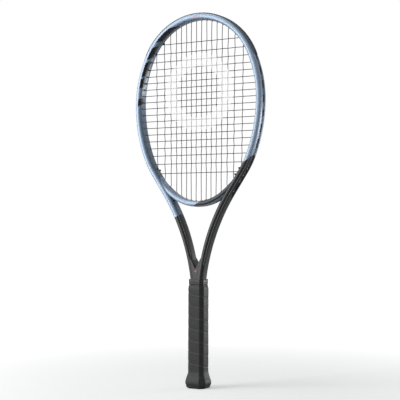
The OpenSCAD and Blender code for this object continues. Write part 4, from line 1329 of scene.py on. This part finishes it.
# %% Floor and world
FLOOR_RADIUS, GLOW_FROM, GLOW_TO, GLOW_LOW = 4.0, 0.15, 1.6, 0.42
SEEN, MIRRORED, FILL = 1.0, 0.45, 0.13
bpy.ops.mesh.primitive_circle_add(vertices=96, radius=FLOOR_RADIUS, fill_type="NGON")
floor = bpy.context.object
floor.name = "studio_floor"
floor_paint, tree, shader = new_material("studio_white")
from_foot = node(tree, "VectorMath", {0: node(tree, "TexCoord").outputs["Object"]},
                 operation="LENGTH").outputs["Value"]
glow = node(tree, "MapRange", {"Value": from_foot, "From Min": GLOW_FROM, "From Max": GLOW_TO,
                               "To Min": GLOW_LOW}, interpolation_type="SMOOTHSTEP").outputs[0]
fill_in(tree, shader, {
    "Base Color": (0.86, 0.86, 0.86, 1.0), "Roughness": 0.9, "Specular IOR Level": 0.1,
    "Emission Color": node(tree, "CombineColor", {0: glow, 1: glow, 2: glow}).outputs[0],
    "Emission Strength": node(tree, "LightPath").outputs["Is Camera Ray"],
    "Alpha": calc(tree, "SUBTRACT", 1.0, node(tree, "NewGeometry").outputs["Backfacing"])})
coat(floor_paint, floor)

scene = bpy.context.scene
scene.view_settings.view_transform = "Standard"
world = bpy.data.worlds.new("studio")
scene.world = world
world.use_nodes = True
tree = world.node_tree
seen = fill_in(tree, tree.nodes["Background"], {"Color": (1, 1, 1, 1), "Strength": SEEN})
fill = node(tree, "Background", {"Color": (0.93, 0.96, 1.0, 1.0), "Strength": FILL})
bright = node(tree, "Background", {"Color": (0.96, 0.98, 1.0, 1.0), "Strength": MIRRORED})
ray = node(tree, "LightPath")
mirrored = node(tree, "MixShader", {0: ray.outputs["Is Glossy Ray"], 1: fill.outputs[0],
                                    2: bright.outputs[0]})
pick = node(tree, "MixShader", {0: ray.outputs["Is Camera Ray"], 1: mirrored.outputs[0],
                                2: seen.outputs[0]})
fill_in(tree, tree.nodes["World Output"], {"Surface": pick.outputs[0]})


# %% Lights
AIM_Z = 0.36


def softbox(name, azimuth, distance, height, width, tall, watts):
    """A soft light on a circle round the racket; azimuth 0 is in front and 90 to the right."""
    a = math.radians(azimuth)
    data = bpy.data.lights.new(name, "AREA")
    data.shape, data.size, data.size_y, data.energy = "RECTANGLE", width, tall, watts
    lamp = bpy.data.objects.new(name, data)
    lamp.location = (distance * math.sin(a), -distance * math.cos(a), height)
    aim = Vector((0, 0, AIM_Z)) - lamp.location
    lamp.rotation_euler = aim.to_track_quat("-Z", "Y").to_euler()
    scene.collection.objects.link(lamp)


softbox("front_left", -42, 2.2, 0.75, 1.2, 1.9, 34)
softbox("back_right", 142, 2.2, 0.30, 1.2, 0.56, 14)
softbox("overhead", -60, 0.9, 2.6, 1.6, 1.6, 16)

# %% [markdown]
# ## Camera
# The camera stands thirty degrees round to the right, level, a little under half the racket's
# height. A level camera keeps the long sides parallel; the lens is shifted instead of
# tilted to bring the whole racket into the frame.

# %% Camera
AZIMUTH, DISTANCE, EYE_Z, LENS, ROLL = 30.0, 1.954, 0.291, 96.2, 0.15
SHIFT_X, SHIFT_Y = 0.0035, 0.0715
camera_data = bpy.data.cameras.new("camera")
camera_data.lens = LENS
camera_data.shift_x, camera_data.shift_y = SHIFT_X, SHIFT_Y
camera = bpy.data.objects.new("camera", camera_data)
a = math.radians(AZIMUTH)
away = Vector((math.sin(a), -math.cos(a), 0))
camera.location = away * DISTANCE + Vector((0, 0, EYE_Z))
camera.rotation_mode = "QUATERNION"
roll = Quaternion(away, math.radians(ROLL))
camera.rotation_quaternion = roll @ (-away).to_track_quat("-Z", "Y")
scene.collection.objects.link(camera)
scene.camera = camera
